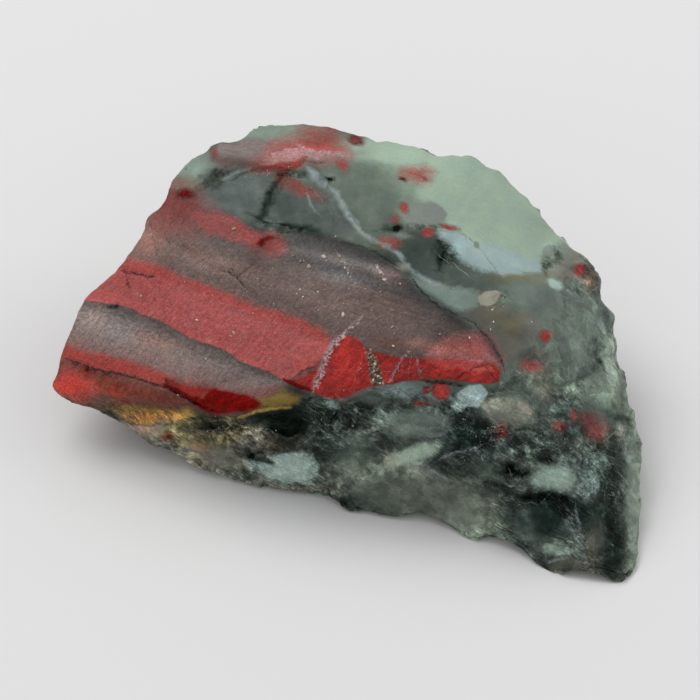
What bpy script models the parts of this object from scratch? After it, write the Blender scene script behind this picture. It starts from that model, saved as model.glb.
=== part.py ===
"""A raw lump of bloodstone: one broken piece of red, grey and green jasper, as it lies on its flat underside.

The stone is shaped square-on to its broad face, in millimetres: u runs to the right across that face, v up
it, and w straight out of it. A front sheet and a back sheet meet at the outline. The whole is then leaned back
by LEAN, as the stone lies, cut flat where it rests, and centred over its footprint.
"""

import math

import bmesh
import bpy
import numpy as np
from mathutils import Matrix, Vector, noise
from mathutils.geometry import delaunay_2d_cdt

MM = 0.001
NAME = "bloodstone"
LEAN = math.radians(45)  # how far the broad face leans back from upright
FLOOR = -17.0  # the resting plane is where v + w has this value, because the face leans at 45 degrees
UNDERCUT = 1.6  # how far beyond the resting plane the back sheet goes before the cut
SPHERE_LEVEL = 7  # the ico sphere that the stone is shaped from
FRONT_SHARE = 0.62  # of the sphere's points, those that go to the front sheet
EDGE_SHARE = 0.03  # those that go to the broken edge between the sheets
EVENING_ROUNDS = 22  # of smoothing the front sheet's folds, before its ledges are cut
SOFTENING_ROUNDS = 2
TRIANGLES = 9200

# The edge of the stone seen square-on, clockwise from the left tip: (u, v).
OUTLINE = [
    (-29.4, -3.1), (-28.6, -0.2), (-27.1, 3.6), (-26.3, 5.7), (-25.1, 6.6), (-22.8, 8.5), (-22.0, 9.9),
    (-20.1, 12.7), (-20.0, 13.6), (-18.8, 14.9), (-17.5, 17.2), (-16.6, 18.6), (-15.3, 19.8), (-13.8, 20.6),
    (-12.7, 21.2), (-10.7, 21.4), (-9.9, 22.1), (-8.6, 22.9), (-4.5, 23.0), (-1.9, 22.8), (0.7, 22.3),
    (3.1, 21.3), (4.0, 21.3), (7.7, 20.8), (8.3, 20.2), (9.2, 19.9), (10.5, 20.0), (12.3, 19.7),
    (14.1, 18.6), (15.1, 18.4), (17.0, 16.8), (19.9, 13.5), (21.0, 11.8), (22.5, 10.5), (23.9, 9.8),
    (25.0, 8.1), (25.5, 6.5), (25.4, 6.0), (26.5, 4.3), (26.6, 1.8), (27.0, -0.2), (27.9, -2.8),
    (27.9, -4.0), (28.4, -5.1), (29.0, -7.3), (29.4, -8.7), (29.2, -9.4), (29.4, -10.6), (29.3, -13.6),
    (29.2, -18.2), (28.8, -21.2), (28.3, -22.2), (27.2, -22.7), (26.2, -22.3), (24.8, -21.6), (23.0, -21.5),
    (21.6, -21.8), (20.5, -21.7), (19.3, -21.2), (16.8, -19.3), (15.2, -18.6), (12.2, -18.4), (9.4, -16.7),
    (7.4, -15.9), (5.3, -16.1), (1.4, -15.8), (0.0, -15.6), (-3.0, -13.8), (-4.2, -13.9), (-9.7, -13.2),
    (-14.3, -11.8), (-17.6, -9.7), (-19.9, -8.9), (-23.2, -6.4), (-25.0, -5.6), (-27.3, -5.2), (-29.3, -3.6),
]  # fmt: skip

# How far forward the front sheet's edge lies: (u, v, w) round the outline, clockwise from the left tip.
EDGE_DEPTHS = [
    (-29.4, -3.1, -4.0), (-26.3, 5.7, -6.0), (-20.1, 12.7, -7.0), (-13.8, 20.6, -8.3), (-8.6, 22.9, -8.6),
    (-1.9, 22.8, -7.8), (7.7, 20.8, -6.6), (15.1, 18.4, -6.6), (22.5, 10.5, -5.6), (26.5, 4.3, -4.4),
    (27.9, -4.0, -2.4), (29.4, -10.6, -0.6), (29.2, -18.2, 3.2), (27.2, -22.7, 6.5), (21.6, -21.8, 5.8),
    (15.2, -18.6, 2.8), (7.4, -15.9, 0.2), (0.0, -15.6, -0.7), (-4.2, -13.9, -2.2), (-11.6, -12.6, -3.6),
    (-17.6, -9.7, -4.2), (-23.2, -6.4, -4.5),
]  # fmt: skip

# Spot heights of the front sheet, (u, v, w). Each of these lines is a fold or edge that the surface follows.
CREST = [
    (-27.0, -3.4, -3.0), (-23.8, -3.6, -1.2), (-19.0, -4.2, 1.2), (-14.8, -4.8, 3.0), (-10.8, -5.4, 4.6),
    (-7.0, -5.2, 5.8), (-3.0, -4.2, 7.2), (-0.3, -4.2, 8.0), (3.0, -3.0, 8.4), (8.2, -2.6, 8.8),
    (12.0, -2.6, 8.6), (15.2, -2.8, 8.0),
]  # fmt: skip
SHOULDER = [(-6.0, 0.0, 5.6), (-1.5, 1.5, 7.2), (3.0, 0.8, 8.0), (8.0, 0.6, 8.3), (12.5, 2.0, 7.8)]
CREVICE = [(3.6, 11.0, 3.1), (5.4, 8.9, 4.3), (9.0, 5.4, 6.0), (12.2, 3.7, 6.9), (15.5, -1.0, 7.6)]
PEAK_RIDGE = [
    (-14.0, 17.0, -5.6), (-10.1, 18.7, -4.6), (-6.1, 18.7, -3.2), (-4.1, 19.5, -2.6), (-1.6, 19.6, -2.9),
]  # fmt: skip
BLUE_RIDGE = [(-4.1, 19.5, -2.6), (-2.1, 17.3, -1.5), (-1.5, 15.9, -0.5), (0.0, 13.8, 0.9), (3.6, 11.0, 3.1)]
SHELF = [(-14.5, 14.6, -4.6), (-9.0, 13.6, -1.8), (-5.8, 12.7, -0.3), (-3.0, 12.6, 0.9), (0.0, 12.2, 2.4)]
RIM_RIDGE = [(26.0, -3.0, 1.6), (27.0, -8.0, 2.4), (27.3, -13.0, 3.8), (27.0, -18.0, 5.8), (26.4, -21.2, 6.9)]
CORNER_RIDGE = [(20.6, -14.0, 7.2), (22.4, -17.0, 7.3), (24.2, -21.2, 6.6)]
FOLDS = [CREST, SHOULDER, CREVICE, PEAK_RIDGE, BLUE_RIDGE, SHELF, RIM_RIDGE, CORNER_RIDGE]
# The line below and right of which the front sheet is a rough wall, drawn from left to right.
WALL_TOP = [(-30.0, -4.0), (-10.8, -6.0), (-2.0, -5.0), (15.4, -3.4), (20.0, 4.0), (24.0, 11.0)]

# Spot heights between the folds.
STRIPED_FACE = [
    (-24.5, 0.5, -2.2), (-22.0, 5.0, -3.2), (-14.8, 5.5, 0.3), (-14.0, -0.5, 2.2), (-4.8, 5.5, 4.6),
    (-17.5, 11.0, -2.8), (-9.0, 10.5, 1.2), (1.0, 9.5, 4.4), (-3.8, 16.8, -1.2), (-8.0, 16.4, -2.9),
]  # fmt: skip
GREEN_DOME = [
    (4.6, 18.4, -2.6), (4.6, 15.3, -0.1), (8.5, 17.0, -2.2), (13.0, 16.0, -2.6), (17.5, 12.0, -1.8),
    (10.0, 12.0, 1.5), (14.0, 9.0, 2.2), (19.5, 8.5, -0.4), (8.5, 9.0, 3.5), (22.5, 7.0, -2.0),
    (6.8, 14.0, 0.8), (6.6, 11.4, 2.4),
]  # fmt: skip
RIGHT_SIDE = [
    (15.5, 4.5, 4.9), (20.0, 3.0, 3.0), (23.5, 1.0, 0.8), (19.0, -2.5, 5.4), (24.5, -4.5, 1.8),
    (20.0, -8.0, 6.2), (24.6, -11.0, 4.4),
]  # fmt: skip
FRONT_WALL = [
    (-17.0, -7.0, -0.8), (-11.5, -8.6, 0.8), (-6.0, -8.8, 2.6), (-1.0, -8.0, 4.9), (4.0, -7.5, 6.6),
    (9.0, -7.0, 7.6), (14.0, -8.0, 7.9), (7.0, -11.0, 4.8), (12.5, -12.5, 5.4), (17.5, -13.0, 6.8),
    (0.5, -12.0, 2.0), (-6.0, -12.0, -0.6), (15.0, -16.0, 4.6), (19.5, -18.5, 5.9), (25.0, -17.0, 6.2),
]  # fmt: skip
BETWEEN = STRIPED_FACE + GREEN_DOME + RIGHT_SIDE + FRONT_WALL

# The back sheet's flat breaks: the outward direction in the face plane, how far out it starts, the depth
# there, and how steeply it goes back from there.
BACK_BREAKS = [
    ((-1.0, 0.0), 29.4, -5.4, 1.3),
    ((-0.75, 0.66), 23.4, -9.8, 1.4),
    ((0.0, 1.0), 22.9, -10.4, 1.1),
    ((0.68, 0.73), 23.5, -8.8, 1.35),
    ((1.0, 0.0), 29.2, -5.5, 1.5),
    ((-0.45, -0.89), 16.3, -5.6, 0.9),
]
# Shell-shaped scars on the back sheet: (u, v) of the middle, radius of the hollow, and how deep it bites.
BACK_SCARS = [
    (-12.0, 12.5, 24.0, 1.7),
    (4.5, 16.0, 30.0, 1.5),
    (17.5, 7.0, 20.0, 1.6),
    (-20.0, 3.0, 17.0, 1.2),
]

# Ledges of the front sheet: the line along which the surface breaks, how deep it drops on the right-hand side
# of that line's direction, and how far it takes to come back up.
BAND_LEDGE = [
    (-13.6, -5.2), (-10.8, -5.7), (-7.0, -5.8), (-4.4, -5.0), (-2.8, -4.3), (-0.6, -4.9), (1.2, -4.2),
    (3.0, -3.4), (6.0, -3.0), (10.0, -2.8), (15.4, -3.0),
]  # fmt: skip
CREVICE_LEDGE = [(15.6, -2.4), (14.4, 1.6), (12.2, 3.7), (9.0, 5.4), (7.2, 6.8), (5.4, 8.9), (3.6, 11.0)]
PEAK_LEDGE = [
    (-12.6, 17.6), (-10.1, 18.6), (-7.3, 18.8), (-5.6, 18.7), (-4.8, 19.2), (-4.1, 19.7), (-3.3, 19.3),
    (-1.3, 19.6),
]  # fmt: skip
NOTCH_LEDGE = [(-8.9, 13.8), (-8.4, 14.7), (-8.1, 15.7), (-7.7, 16.8), (-7.1, 17.5), (-6.6, 18.3)]
FACET_FOOT = [(-10.1, 14.2), (-8.6, 13.5), (-7.3, 13.1), (-5.8, 12.9), (-4.0, 12.7), (-2.4, 12.4)]
LEDGES = [
    (BAND_LEDGE, 1.1, 3.2),
    (CREVICE_LEDGE, 0.7, 2.6),
    (PEAK_LEDGE, 0.9, 2.4),
    (NOTCH_LEDGE, 0.7, 2.6),
    (FACET_FOOT, 0.6, 1.6),
    ([(-12.9, 18.6), (-13.2, 17.6), (-13.8, 16.8)], 0.35, 1.6),
    ([(17.0, -13.7), (20.0, -14.6), (22.5, -14.1), (25.0, -14.4)], 0.7, 2.2),
    ([(5.3, -11.3), (8.0, -10.6), (9.9, -10.0), (12.6, -9.2)], 0.45, 2.5),
    ([(21.4, -3.4), (23.6, -4.8), (26.4, -5.6), (28.4, -6.0)], 0.5, 1.8),
    ([(16.0, 8.6), (19.5, 8.0), (21.5, 9.2), (22.6, 11.2)], 0.35, 1.8),
]

# Low ridges of the front sheet: the line, how high it stands, and its half-width.
RIDGES = [
    ([(-1.9, 16.8), (-1.1, 15.9), (-0.3, 14.6), (0.7, 13.1), (1.8, 12.0), (3.0, 11.3), (5.1, 9.0)], 0.4, 0.5),
    ([(-4.2, 18.6), (-3.4, 18.1), (-2.7, 17.2)], 0.35, 0.4),
    ([(21.5, -16.4), (22.6, -18.1), (23.5, -20.6)], 0.3, 0.5),
    ([(24.6, -14.4), (24.2, -15.9), (23.6, -18.5)], 0.25, 0.4),
    ([(9.5, -10.2), (11.0, -9.8), (12.4, -9.4)], 0.25, 0.35),
]

# Hollows and swellings of the front sheet: (u, v), half-length, half-width, tilt in degrees, and how far each
# one sinks, negative where it swells.
DENTS = [
    (-6.2, -6.6, 3.4, 1.9, 0, 0.9),
    (-1.6, -6.6, 2.2, 2.2, 0, 0.9),
    (12.6, -8.0, 4.8, 2.8, -30, 0.45),
    (16.8, -11.5, 2.0, 1.1, 0, 0.4),
    (19.0, -16.4, 3.8, 2.2, 0, 0.4),
    (26.0, -17.8, 1.9, 3.8, 0, 0.35),
    (24.9, -0.6, 1.4, 2.0, 20, 0.5),
    (9.9, 10.8, 1.6, 1.2, 0, 0.2),
    (7.2, -6.4, 4.4, 2.4, 10, -0.7),
    (20.6, -12.6, 3.4, 1.8, 0, -0.45),
    (-11.0, -9.6, 3.0, 1.8, -15, -0.5),
    (2.6, -12.8, 2.6, 1.8, 0, -0.4),
    (17.6, 3.6, 3.6, 2.4, -20, -0.5),
]

LUMPS = [(9.0, 0.5), (3.6, 0.2)]  # the size of each kind of lump, and how far it stands
SCALLOPS = [(7.5, 0.75), (3.4, 0.3)]  # the size of each kind of small scar, and its depth below its rim
OFFSET = (17.3, 5.9, 31.7)  # keeps the three parts of the scars' bending apart from each other
SMOOTH_FACES = 0.12  # the share of the scallops' depth that shows on the striped face and the green dome
ROUGH_WALL = 0.9  # the share that shows below the crest


def polar_order(points):
    """The points sorted by their angle round the origin, with one more at each end for wrapping round."""
    ordered = sorted(points, key=lambda p: math.atan2(p[1], p[0]))
    return [ordered[-1]] + ordered + [ordered[0]]


def outline_reach(angle):
    """How far the outline lies from the origin in each direction."""
    ring = np.array(polar_order(OUTLINE))
    angles = np.unwrap(np.arctan2(ring[:, 1], ring[:, 0]))
    angles += 2 * math.pi * round(-(angles[0] + math.pi) / (2 * math.pi))
    side = np.clip(np.searchsorted(angles, angle) - 1, 0, len(ring) - 2)
    start = ring[side]
    along = ring[side + 1] - start
    facing = np.stack([np.cos(angle), np.sin(angle)], axis=1)
    return cross(start, along) / cross(facing, along)


def cross(a, b):
    return a[:, 0] * b[:, 1] - a[:, 1] * b[:, 0]


def edge_depth(angle):
    """How far forward the front sheet's edge lies in each direction."""
    ring = np.array(polar_order(EDGE_DEPTHS))
    angles = np.unwrap(np.arctan2(ring[:, 1], ring[:, 0]))
    angles += 2 * math.pi * round(-(angles[0] + math.pi) / (2 * math.pi))
    return np.interp(angle, angles, ring[:, 2])


def front_spots():
    """Every spot height of the front sheet, and the pairs of them that a fold joins."""
    rim_angle = np.array([math.atan2(v, u) for u, v in OUTLINE])
    rim = [(u, v, w) for (u, v), w in zip(OUTLINE, edge_depth(rim_angle))]
    spots = list(rim)
    joined = [(i, (i + 1) % len(rim)) for i in range(len(rim))]
    for fold in FOLDS:
        for a, b in zip(fold, fold[1:]):
            for spot in (a, b):
                if spot not in spots:
                    spots.append(spot)
            joined.append((spots.index(a), spots.index(b)))
    return spots + BETWEEN, joined


def front_depth(flat):
    """The front sheet's depth at each (u, v), on flat triangles between the spot heights."""
    spots, joined = front_spots()
    corners, _, faces, came_from, _, _ = delaunay_2d_cdt([Vector(s[:2]) for s in spots], joined, [], 0, 1e-6)
    height = [spots[sources[0]][2] for sources in came_from]
    best = np.full(len(flat), -np.inf)
    depth = np.zeros(len(flat))
    for a, b, c in faces:
        pa, pb, pc = (np.array(corners[i]) for i in (a, b, c))
        area = (pb[0] - pa[0]) * (pc[1] - pa[1]) - (pb[1] - pa[1]) * (pc[0] - pa[0])
        to = flat - pa
        share_b = (to[:, 0] * (pc[1] - pa[1]) - to[:, 1] * (pc[0] - pa[0])) / area
        share_c = (to[:, 1] * (pb[0] - pa[0]) - to[:, 0] * (pb[1] - pa[1])) / area
        inside = np.minimum(np.minimum(share_b, share_c), 1 - share_b - share_c)
        nearer = inside > best
        here = height[a] + share_b * (height[b] - height[a]) + share_c * (height[c] - height[a])
        depth[nearer] = here[nearer]
        best[nearer] = inside[nearer]
    return depth


def back_planes(flat):
    """The depth of the back sheet before its scars, and its slope, at each (u, v)."""
    depths = [FLOOR - UNDERCUT - flat[:, 1]]
    slopes = [(0.0, -1.0)]
    for (out_u, out_v), start, depth, steep in BACK_BREAKS:
        inward = start - out_u * flat[:, 0] - out_v * flat[:, 1]
        depths.append(depth - steep * inward)
        slopes.append((steep * out_u, steep * out_v))
    depths = np.array(depths)
    first = depths.argmax(axis=0)
    return depths.max(axis=0), np.array(slopes)[first]


def back_depth(flat):
    """The back sheet's depth at each (u, v): the foremost of its flat breaks and its hollow scars."""
    depth, _ = back_planes(flat)
    for u, v, radius, bite in BACK_SCARS:
        (w,), (slope,) = back_planes(np.array([[u, v]]))
        outward = Vector((slope[0], slope[1], -1.0)).normalized()
        middle = Vector((u, v, w)) + outward * (radius - bite)
        reach = (flat[:, 0] - middle.x) ** 2 + (flat[:, 1] - middle.y) ** 2
        dome = middle.z + np.sqrt(np.maximum(radius**2 - reach, 0))
        depth = np.where(reach < radius**2, np.maximum(depth, dome), depth)
    return depth


def ledge_drop(flat):
    """How far the ledges lower the front sheet at each (u, v)."""
    drop = np.zeros(len(flat))
    for line, depth, reach in LEDGES:
        distance, side, along = line_measure(flat, np.array(line))
        fade = np.clip(np.minimum(along, 1 - along) * 6, 0, 1)
        step = np.clip(side * distance / 0.25, 0, 1)
        drop += depth * fade * step * np.exp(-distance / reach)
    return drop


def line_measure(flat, line):
    """For each (u, v): its distance to a broken line, 1 on the line's right-hand side and -1 on its left, and
    the share of the line's length at which it lies."""
    best = np.full(len(flat), np.inf)
    side = np.ones(len(flat))
    along = np.zeros(len(flat))
    lengths = np.hypot(*np.diff(line, axis=0).T)
    travelled = 0.0
    for start, end, length in zip(line, line[1:], lengths):
        run = (end - start) / length
        to = flat - start
        t = np.clip(to @ run, 0, length)
        gap = to - t[:, None] * run
        distance = np.hypot(gap[:, 0], gap[:, 1])
        nearer = distance < best
        best[nearer] = distance[nearer]
        turn = run[0] * to[:, 1] - run[1] * to[:, 0]
        side[nearer] = np.where(turn < 0, 1, -1)[nearer]
        along[nearer] = ((travelled + t) / lengths.sum())[nearer]
        travelled += length
    return best, side, along


def ridge_rise(flat):
    """How far the low ridges raise the front sheet at each (u, v)."""
    rise = np.zeros(len(flat))
    for line, height, half_width in RIDGES:
        distance, _, along = line_measure(flat, np.array(line))
        fade = np.clip(np.minimum(along, 1 - along) * 6, 0, 1)
        rise += height * fade * np.exp(-((distance / half_width) ** 2))
    return rise


def dent_depth(flat):
    """How far the hollows lower the front sheet at each (u, v)."""
    sink = np.zeros(len(flat))
    for u, v, half_long, half_short, tilt, depth in DENTS:
        turn = math.radians(tilt)
        along = (flat[:, 0] - u) * math.cos(turn) + (flat[:, 1] - v) * math.sin(turn)
        across = (flat[:, 1] - v) * math.cos(turn) - (flat[:, 0] - u) * math.sin(turn)
        reach = (along / half_long) ** 2 + (across / half_short) ** 2
        sink += depth * np.clip(1 - reach, 0, 1) ** 2 * np.where(reach < 1, 1 + reach, 0)
    return sink


def even_out(values, edges, loose, rounds):
    """Moves the value of each loose point halfway to the mean of its neighbours', again and again."""
    ends = np.concatenate([edges, edges[:, ::-1]])
    ends = ends[loose[ends[:, 0]]]
    count = np.maximum(np.bincount(ends[:, 0], minlength=len(values)), 1)
    for _ in range(rounds):
        mean = np.bincount(ends[:, 0], values[ends[:, 1]], minlength=len(values)) / count
        values = np.where(loose, (values + mean) / 2, values)
    return values


def stone_points(ball, edges):
    """Where each point of a unit ball goes on the stone, in millimetres, and how rough the stone is there."""
    angle = np.arctan2(ball[:, 1], ball[:, 0])
    high = (1 - ball[:, 2]) / 2
    edge_end = FRONT_SHARE + EDGE_SHARE
    outward = np.minimum(high / FRONT_SHARE, (1 - high) / (1 - edge_end))
    reach = outline_reach(angle) * np.sqrt(np.clip(outward, 0, 1))
    flat = np.stack([reach * np.cos(angle), reach * np.sin(angle)], axis=1)
    front = even_out(front_depth(flat), edges, high < FRONT_SHARE, EVENING_ROUNDS)
    front += ridge_rise(flat) - ledge_drop(flat) - dent_depth(flat)
    back = np.minimum(back_depth(flat), front - 0.3)
    down_edge = np.clip((high - FRONT_SHARE) / EDGE_SHARE, 0, 1)
    rough = front_roughness(flat)
    rough += (1 - rough) * down_edge
    return np.column_stack([flat, front + (back - front) * down_edge]), rough


def front_roughness(flat):
    """The share of the scallops' depth that shows at each (u, v) of the front sheet."""
    distance, side, _ = line_measure(flat, np.array(WALL_TOP))
    below = np.clip(0.5 + side * distance / 2.0, 0, 1)
    return SMOOTH_FACES + (ROUGH_WALL - SMOOTH_FACES) * below


def ball_mesh():
    mesh = bpy.data.meshes.new(NAME)
    bm = bmesh.new()
    bmesh.ops.create_icosphere(bm, subdivisions=SPHERE_LEVEL, radius=1.0)
    bm.to_mesh(mesh)
    bm.free()
    return mesh


def read_points(mesh):
    flat = np.empty(len(mesh.vertices) * 3, np.float32)
    mesh.vertices.foreach_get("co", flat)
    return flat.reshape(-1, 3).astype(float)


def read_edges(mesh):
    ends = np.empty(len(mesh.edges) * 2, np.int32)
    mesh.edges.foreach_get("vertices", ends)
    return ends.reshape(-1, 2)


def write_points(mesh, points):
    mesh.vertices.foreach_set("co", points.astype(np.float32).ravel())
    mesh.update()


def soften(mesh, rounds):
    """Moves each point halfway to the mean of its neighbours, which rounds off the flat breaks' edges."""
    axes = {"use_axis_x": True, "use_axis_y": True, "use_axis_z": True}
    bm = bmesh.new()
    bm.from_mesh(mesh)
    for _ in range(rounds):
        bmesh.ops.smooth_vert(bm, verts=bm.verts, factor=0.5, **axes)
    bm.to_mesh(mesh)
    bm.free()


def add_lumps(mesh, rough):
    """Pushes the surface in and out along its normals: smooth lumps, and hollow scars with sharp rims."""
    points = read_points(mesh)
    normals = np.array([v.normal for v in mesh.vertices])
    push = np.zeros(len(points))
    for size, height in LUMPS:
        push += height * np.array([noise.noise(Vector(p) / size) for p in points])
    offset = Vector(OFFSET)
    bend = np.array([[noise.noise(Vector(p) / 4.0 + offset * axis) for axis in range(3)] for p in points])
    for size, depth in SCALLOPS:
        centre = np.array([noise.voronoi(Vector(p) / size)[0][0] for p in points + bend * size * 0.3])
        push += rough * depth * (np.minimum(centre, 1.0) ** 2 - 0.5)
    write_points(mesh, points + normals * push[:, None])


def lie_down(mesh):
    """Leans the stone back, scales it to metres, and cuts it flat where it rests."""
    mesh.transform(Matrix.Rotation(LEAN, 4, "X"))
    mesh.transform(Matrix.Translation((0, 0, -FLOOR * math.cos(LEAN))))
    mesh.transform(Matrix.Scale(MM, 4))


def cut_flat(mesh):
    bm = bmesh.new()
    bm.from_mesh(mesh)
    everything = bm.verts[:] + bm.edges[:] + bm.faces[:]
    cut = bmesh.ops.bisect_plane(
        bm, geom=everything, dist=1e-7, plane_co=(0, 0, 0), plane_no=(0, 0, -1), clear_outer=True
    )
    rim = [e for e in cut["geom_cut"] if isinstance(e, bmesh.types.BMEdge)]
    bmesh.ops.holes_fill(bm, edges=rim, sides=0)
    bmesh.ops.recalc_face_normals(bm, faces=bm.faces)
    bm.to_mesh(mesh)
    bm.free()


def centre_over_footprint(mesh):
    points = read_points(mesh)
    middle = (points.min(axis=0) + points.max(axis=0)) / 2
    mesh.transform(Matrix.Translation((-middle[0], -middle[1], -points[:, 2].min())))


def thinned(obj):
    """The object's mesh with its triangles collapsed where the surface is flattest."""
    modifier = obj.modifiers.new("Thin", "DECIMATE")
    modifier.ratio = TRIANGLES / len(obj.data.polygons)
    graph = bpy.context.evaluated_depsgraph_get()
    mesh = bpy.data.meshes.new_from_object(obj.evaluated_get(graph))
    obj.modifiers.clear()
    return mesh


def jasper():
    material = bpy.data.materials.new("jasper")
    material.use_nodes = True
    shader = material.node_tree.nodes["Principled BSDF"]
    shader.inputs["Base Color"].default_value = (0.13, 0.15, 0.12, 1)
    shader.inputs["Roughness"].default_value = 0.45
    shader.inputs["Metallic"].default_value = 0.0
    return material


def main():
    for obj in list(bpy.data.objects):
        bpy.data.objects.remove(obj)
    collection = bpy.data.collections.new("raw_bloodstone")
    bpy.context.scene.collection.children.link(collection)
    mesh = ball_mesh()
    points, rough = stone_points(read_points(mesh), read_edges(mesh))
    write_points(mesh, points)
    soften(mesh, SOFTENING_ROUNDS)
    add_lumps(mesh, rough)
    lie_down(mesh)
    stone = bpy.data.objects.new(NAME, mesh)
    collection.objects.link(stone)
    stone.data = thinned(stone)
    cut_flat(stone.data)
    centre_over_footprint(stone.data)
    stone.data.name = NAME
    stone.data.materials.append(jasper())
    stone.data.shade_smooth()
    stone.data.set_sharp_from_angle(angle=math.radians(30))


main()
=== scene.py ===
"""The looks of a raw lump of bloodstone: a dense mesh of the stone, with its bands, spots, veins and cracks.

The stone is shaped square-on to its broad face, in millimetres: u runs to the right across that face, v up
it, and w straight out of it. It is then leaned back by LEAN, as the stone lies. The patches are in u and v.
"""

import math

import bmesh
import bpy
import numpy as np
from mathutils import Matrix, Vector, noise
from mathutils.bvhtree import BVHTree
from mathutils.geometry import delaunay_2d_cdt


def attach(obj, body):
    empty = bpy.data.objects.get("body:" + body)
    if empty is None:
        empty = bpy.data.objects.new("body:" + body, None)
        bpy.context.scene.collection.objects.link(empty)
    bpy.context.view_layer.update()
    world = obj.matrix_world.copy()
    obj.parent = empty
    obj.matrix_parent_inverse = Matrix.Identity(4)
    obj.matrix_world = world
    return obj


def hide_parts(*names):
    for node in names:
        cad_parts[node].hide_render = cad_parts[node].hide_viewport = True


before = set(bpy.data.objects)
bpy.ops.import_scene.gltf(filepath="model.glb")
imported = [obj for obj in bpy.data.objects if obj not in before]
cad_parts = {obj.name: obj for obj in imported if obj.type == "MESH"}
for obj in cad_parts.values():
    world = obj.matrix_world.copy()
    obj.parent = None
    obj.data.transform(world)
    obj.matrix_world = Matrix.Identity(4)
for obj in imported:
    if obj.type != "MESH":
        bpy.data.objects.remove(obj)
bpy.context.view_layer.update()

MM = 0.001
LEAN = math.radians(45)  # how far the broad face leans back from upright
FLOOR = -17.0  # the resting plane is where v + w has this value
LEANED_BACK = Matrix.Rotation(LEAN, 4, "X")
LIFTED = Matrix.Translation((0, 0, -FLOOR * math.cos(LEAN)))
IN_METRES = Matrix.Scale(MM, 4)
UNDERCUT = 1.6  # how far beyond the resting plane the back sheet goes before the cut
THINNEST = 0.3  # how far the back sheet stays behind the front one
BALL_CUTS = 124  # cuts along each edge of the cube that the stone is shaped from
FRONT_SHARE = 0.72  # of the ball's points, those that go to the front sheet
EDGE_SHARE = 0.06  # those that go to the broken edge between the sheets
EVENING_ROUNDS = 60  # of smoothing the front sheet's folds, before its ledges are cut
SOFTENING_ROUNDS = 3
STEP_WIDTH = 0.25  # over which a ledge drops
WALL_TOP_BLEND = 2.0  # over which the smooth faces pass into the rough wall
GROOVE = 0.12  # how deep the cracks are cut, and how wide their sides are
SHARP_ANGLE = 60  # in degrees: edges that bend more are shown crisp
BASE_GRID = 0.6  # between the corners of the faces that the stone rests on
FRAME_WIDTH = 0.070  # what the camera takes in, in metres, at the middle of the broad face
FRAME_MIDDLE = (0.2, 0.5)
SUNK = 0.2  # of a grain's length, how deep its middle sits in the skin
LIT_SPOT = (0, 0, 0.01)  # what the lights are turned to, in metres
LAYER_DIP = 0.35  # how far the layers rise for each millimetre that they go in behind the broad face
OUTER_LAYER = 3.0  # how thick the top layer and the bottom one are
PATCH_FADE = 0.35  # how much a patch shrinks for each millimetre that it goes in, in units of its softness
SPOT_FADE = 0.9  # the same for a spot, in millimetres
BANDED_EDGE, MAUVE_EDGE, WEDGE_EDGE = 0.3, 0.3, 0.15  # how soft these three outlines are
HIDDEN = 3.0  # how far behind the front sheet the spots of the hidden sides begin

# The edge of the stone seen square-on, clockwise from the left tip: (u, v).
OUTLINE = [
    (-29.4, -3.1), (-28.6, -0.2), (-27.1, 3.6), (-26.3, 5.7), (-25.1, 6.6), (-22.8, 8.5), (-22, 9.9),
    (-20.1, 12.7), (-20, 13.6), (-18.8, 14.9), (-17.5, 17.2), (-16.6, 18.6), (-15.3, 19.8), (-13.8, 20.6),
    (-12.7, 21.2), (-10.7, 21.4), (-9.9, 22.1), (-8.6, 22.9), (-4.5, 23), (-1.9, 22.8), (0.7, 22.3),
    (3.1, 21.3), (4, 21.3), (7.7, 20.8), (8.3, 20.2), (9.2, 19.9), (10.5, 20), (12.3, 19.7), (14.1, 18.6),
    (15.1, 18.4), (17, 16.8), (19.9, 13.5), (21, 11.8), (22.5, 10.5), (23.9, 9.8), (25, 8.1), (25.5, 6.5),
    (25.4, 6), (26.5, 4.3), (26.6, 1.8), (27, -0.2), (27.9, -2.8), (27.9, -4), (28.4, -5.1), (29, -7.3),
    (29.4, -8.7), (29.2, -9.4), (29.4, -10.6), (29.3, -13.6), (29.2, -18.2), (28.8, -21.2), (28.3, -22.2),
    (27.2, -22.7), (26.2, -22.3), (24.8, -21.6), (23, -21.5), (21.6, -21.8), (20.5, -21.7), (19.3, -21.2),
    (16.8, -19.3), (15.2, -18.6), (12.2, -18.4), (9.4, -16.7), (7.4, -15.9), (5.3, -16.1), (1.4, -15.8),
    (0, -15.6), (-3, -13.8), (-4.2, -13.9), (-9.7, -13.2), (-14.3, -11.8), (-17.6, -9.7), (-19.9, -8.9),
    (-23.2, -6.4), (-25, -5.6), (-27.3, -5.2), (-29.3, -3.6),
]

# How far forward the front sheet's edge lies: (u, v, w) round the outline, clockwise from the left tip.
EDGE_DEPTHS = [
    (-29.4, -3.1, -4), (-26.3, 5.7, -6), (-20.1, 12.7, -7), (-13.8, 20.6, -8.3), (-8.6, 22.9, -8.6),
    (-1.9, 22.8, -7.8), (7.7, 20.8, -6.6), (15.1, 18.4, -6.6), (22.5, 10.5, -5.6), (26.5, 4.3, -4.4),
    (27.9, -4, -2.4), (29.4, -10.6, -0.6), (29.2, -18.2, 3.2), (27.2, -22.7, 6.5), (21.6, -21.8, 5.8),
    (15.2, -18.6, 2.8), (7.4, -15.9, 0.2), (0, -15.6, -0.7), (-4.2, -13.9, -2.2), (-11.6, -12.6, -3.6),
    (-17.6, -9.7, -4.2), (-23.2, -6.4, -4.5),
]

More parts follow.
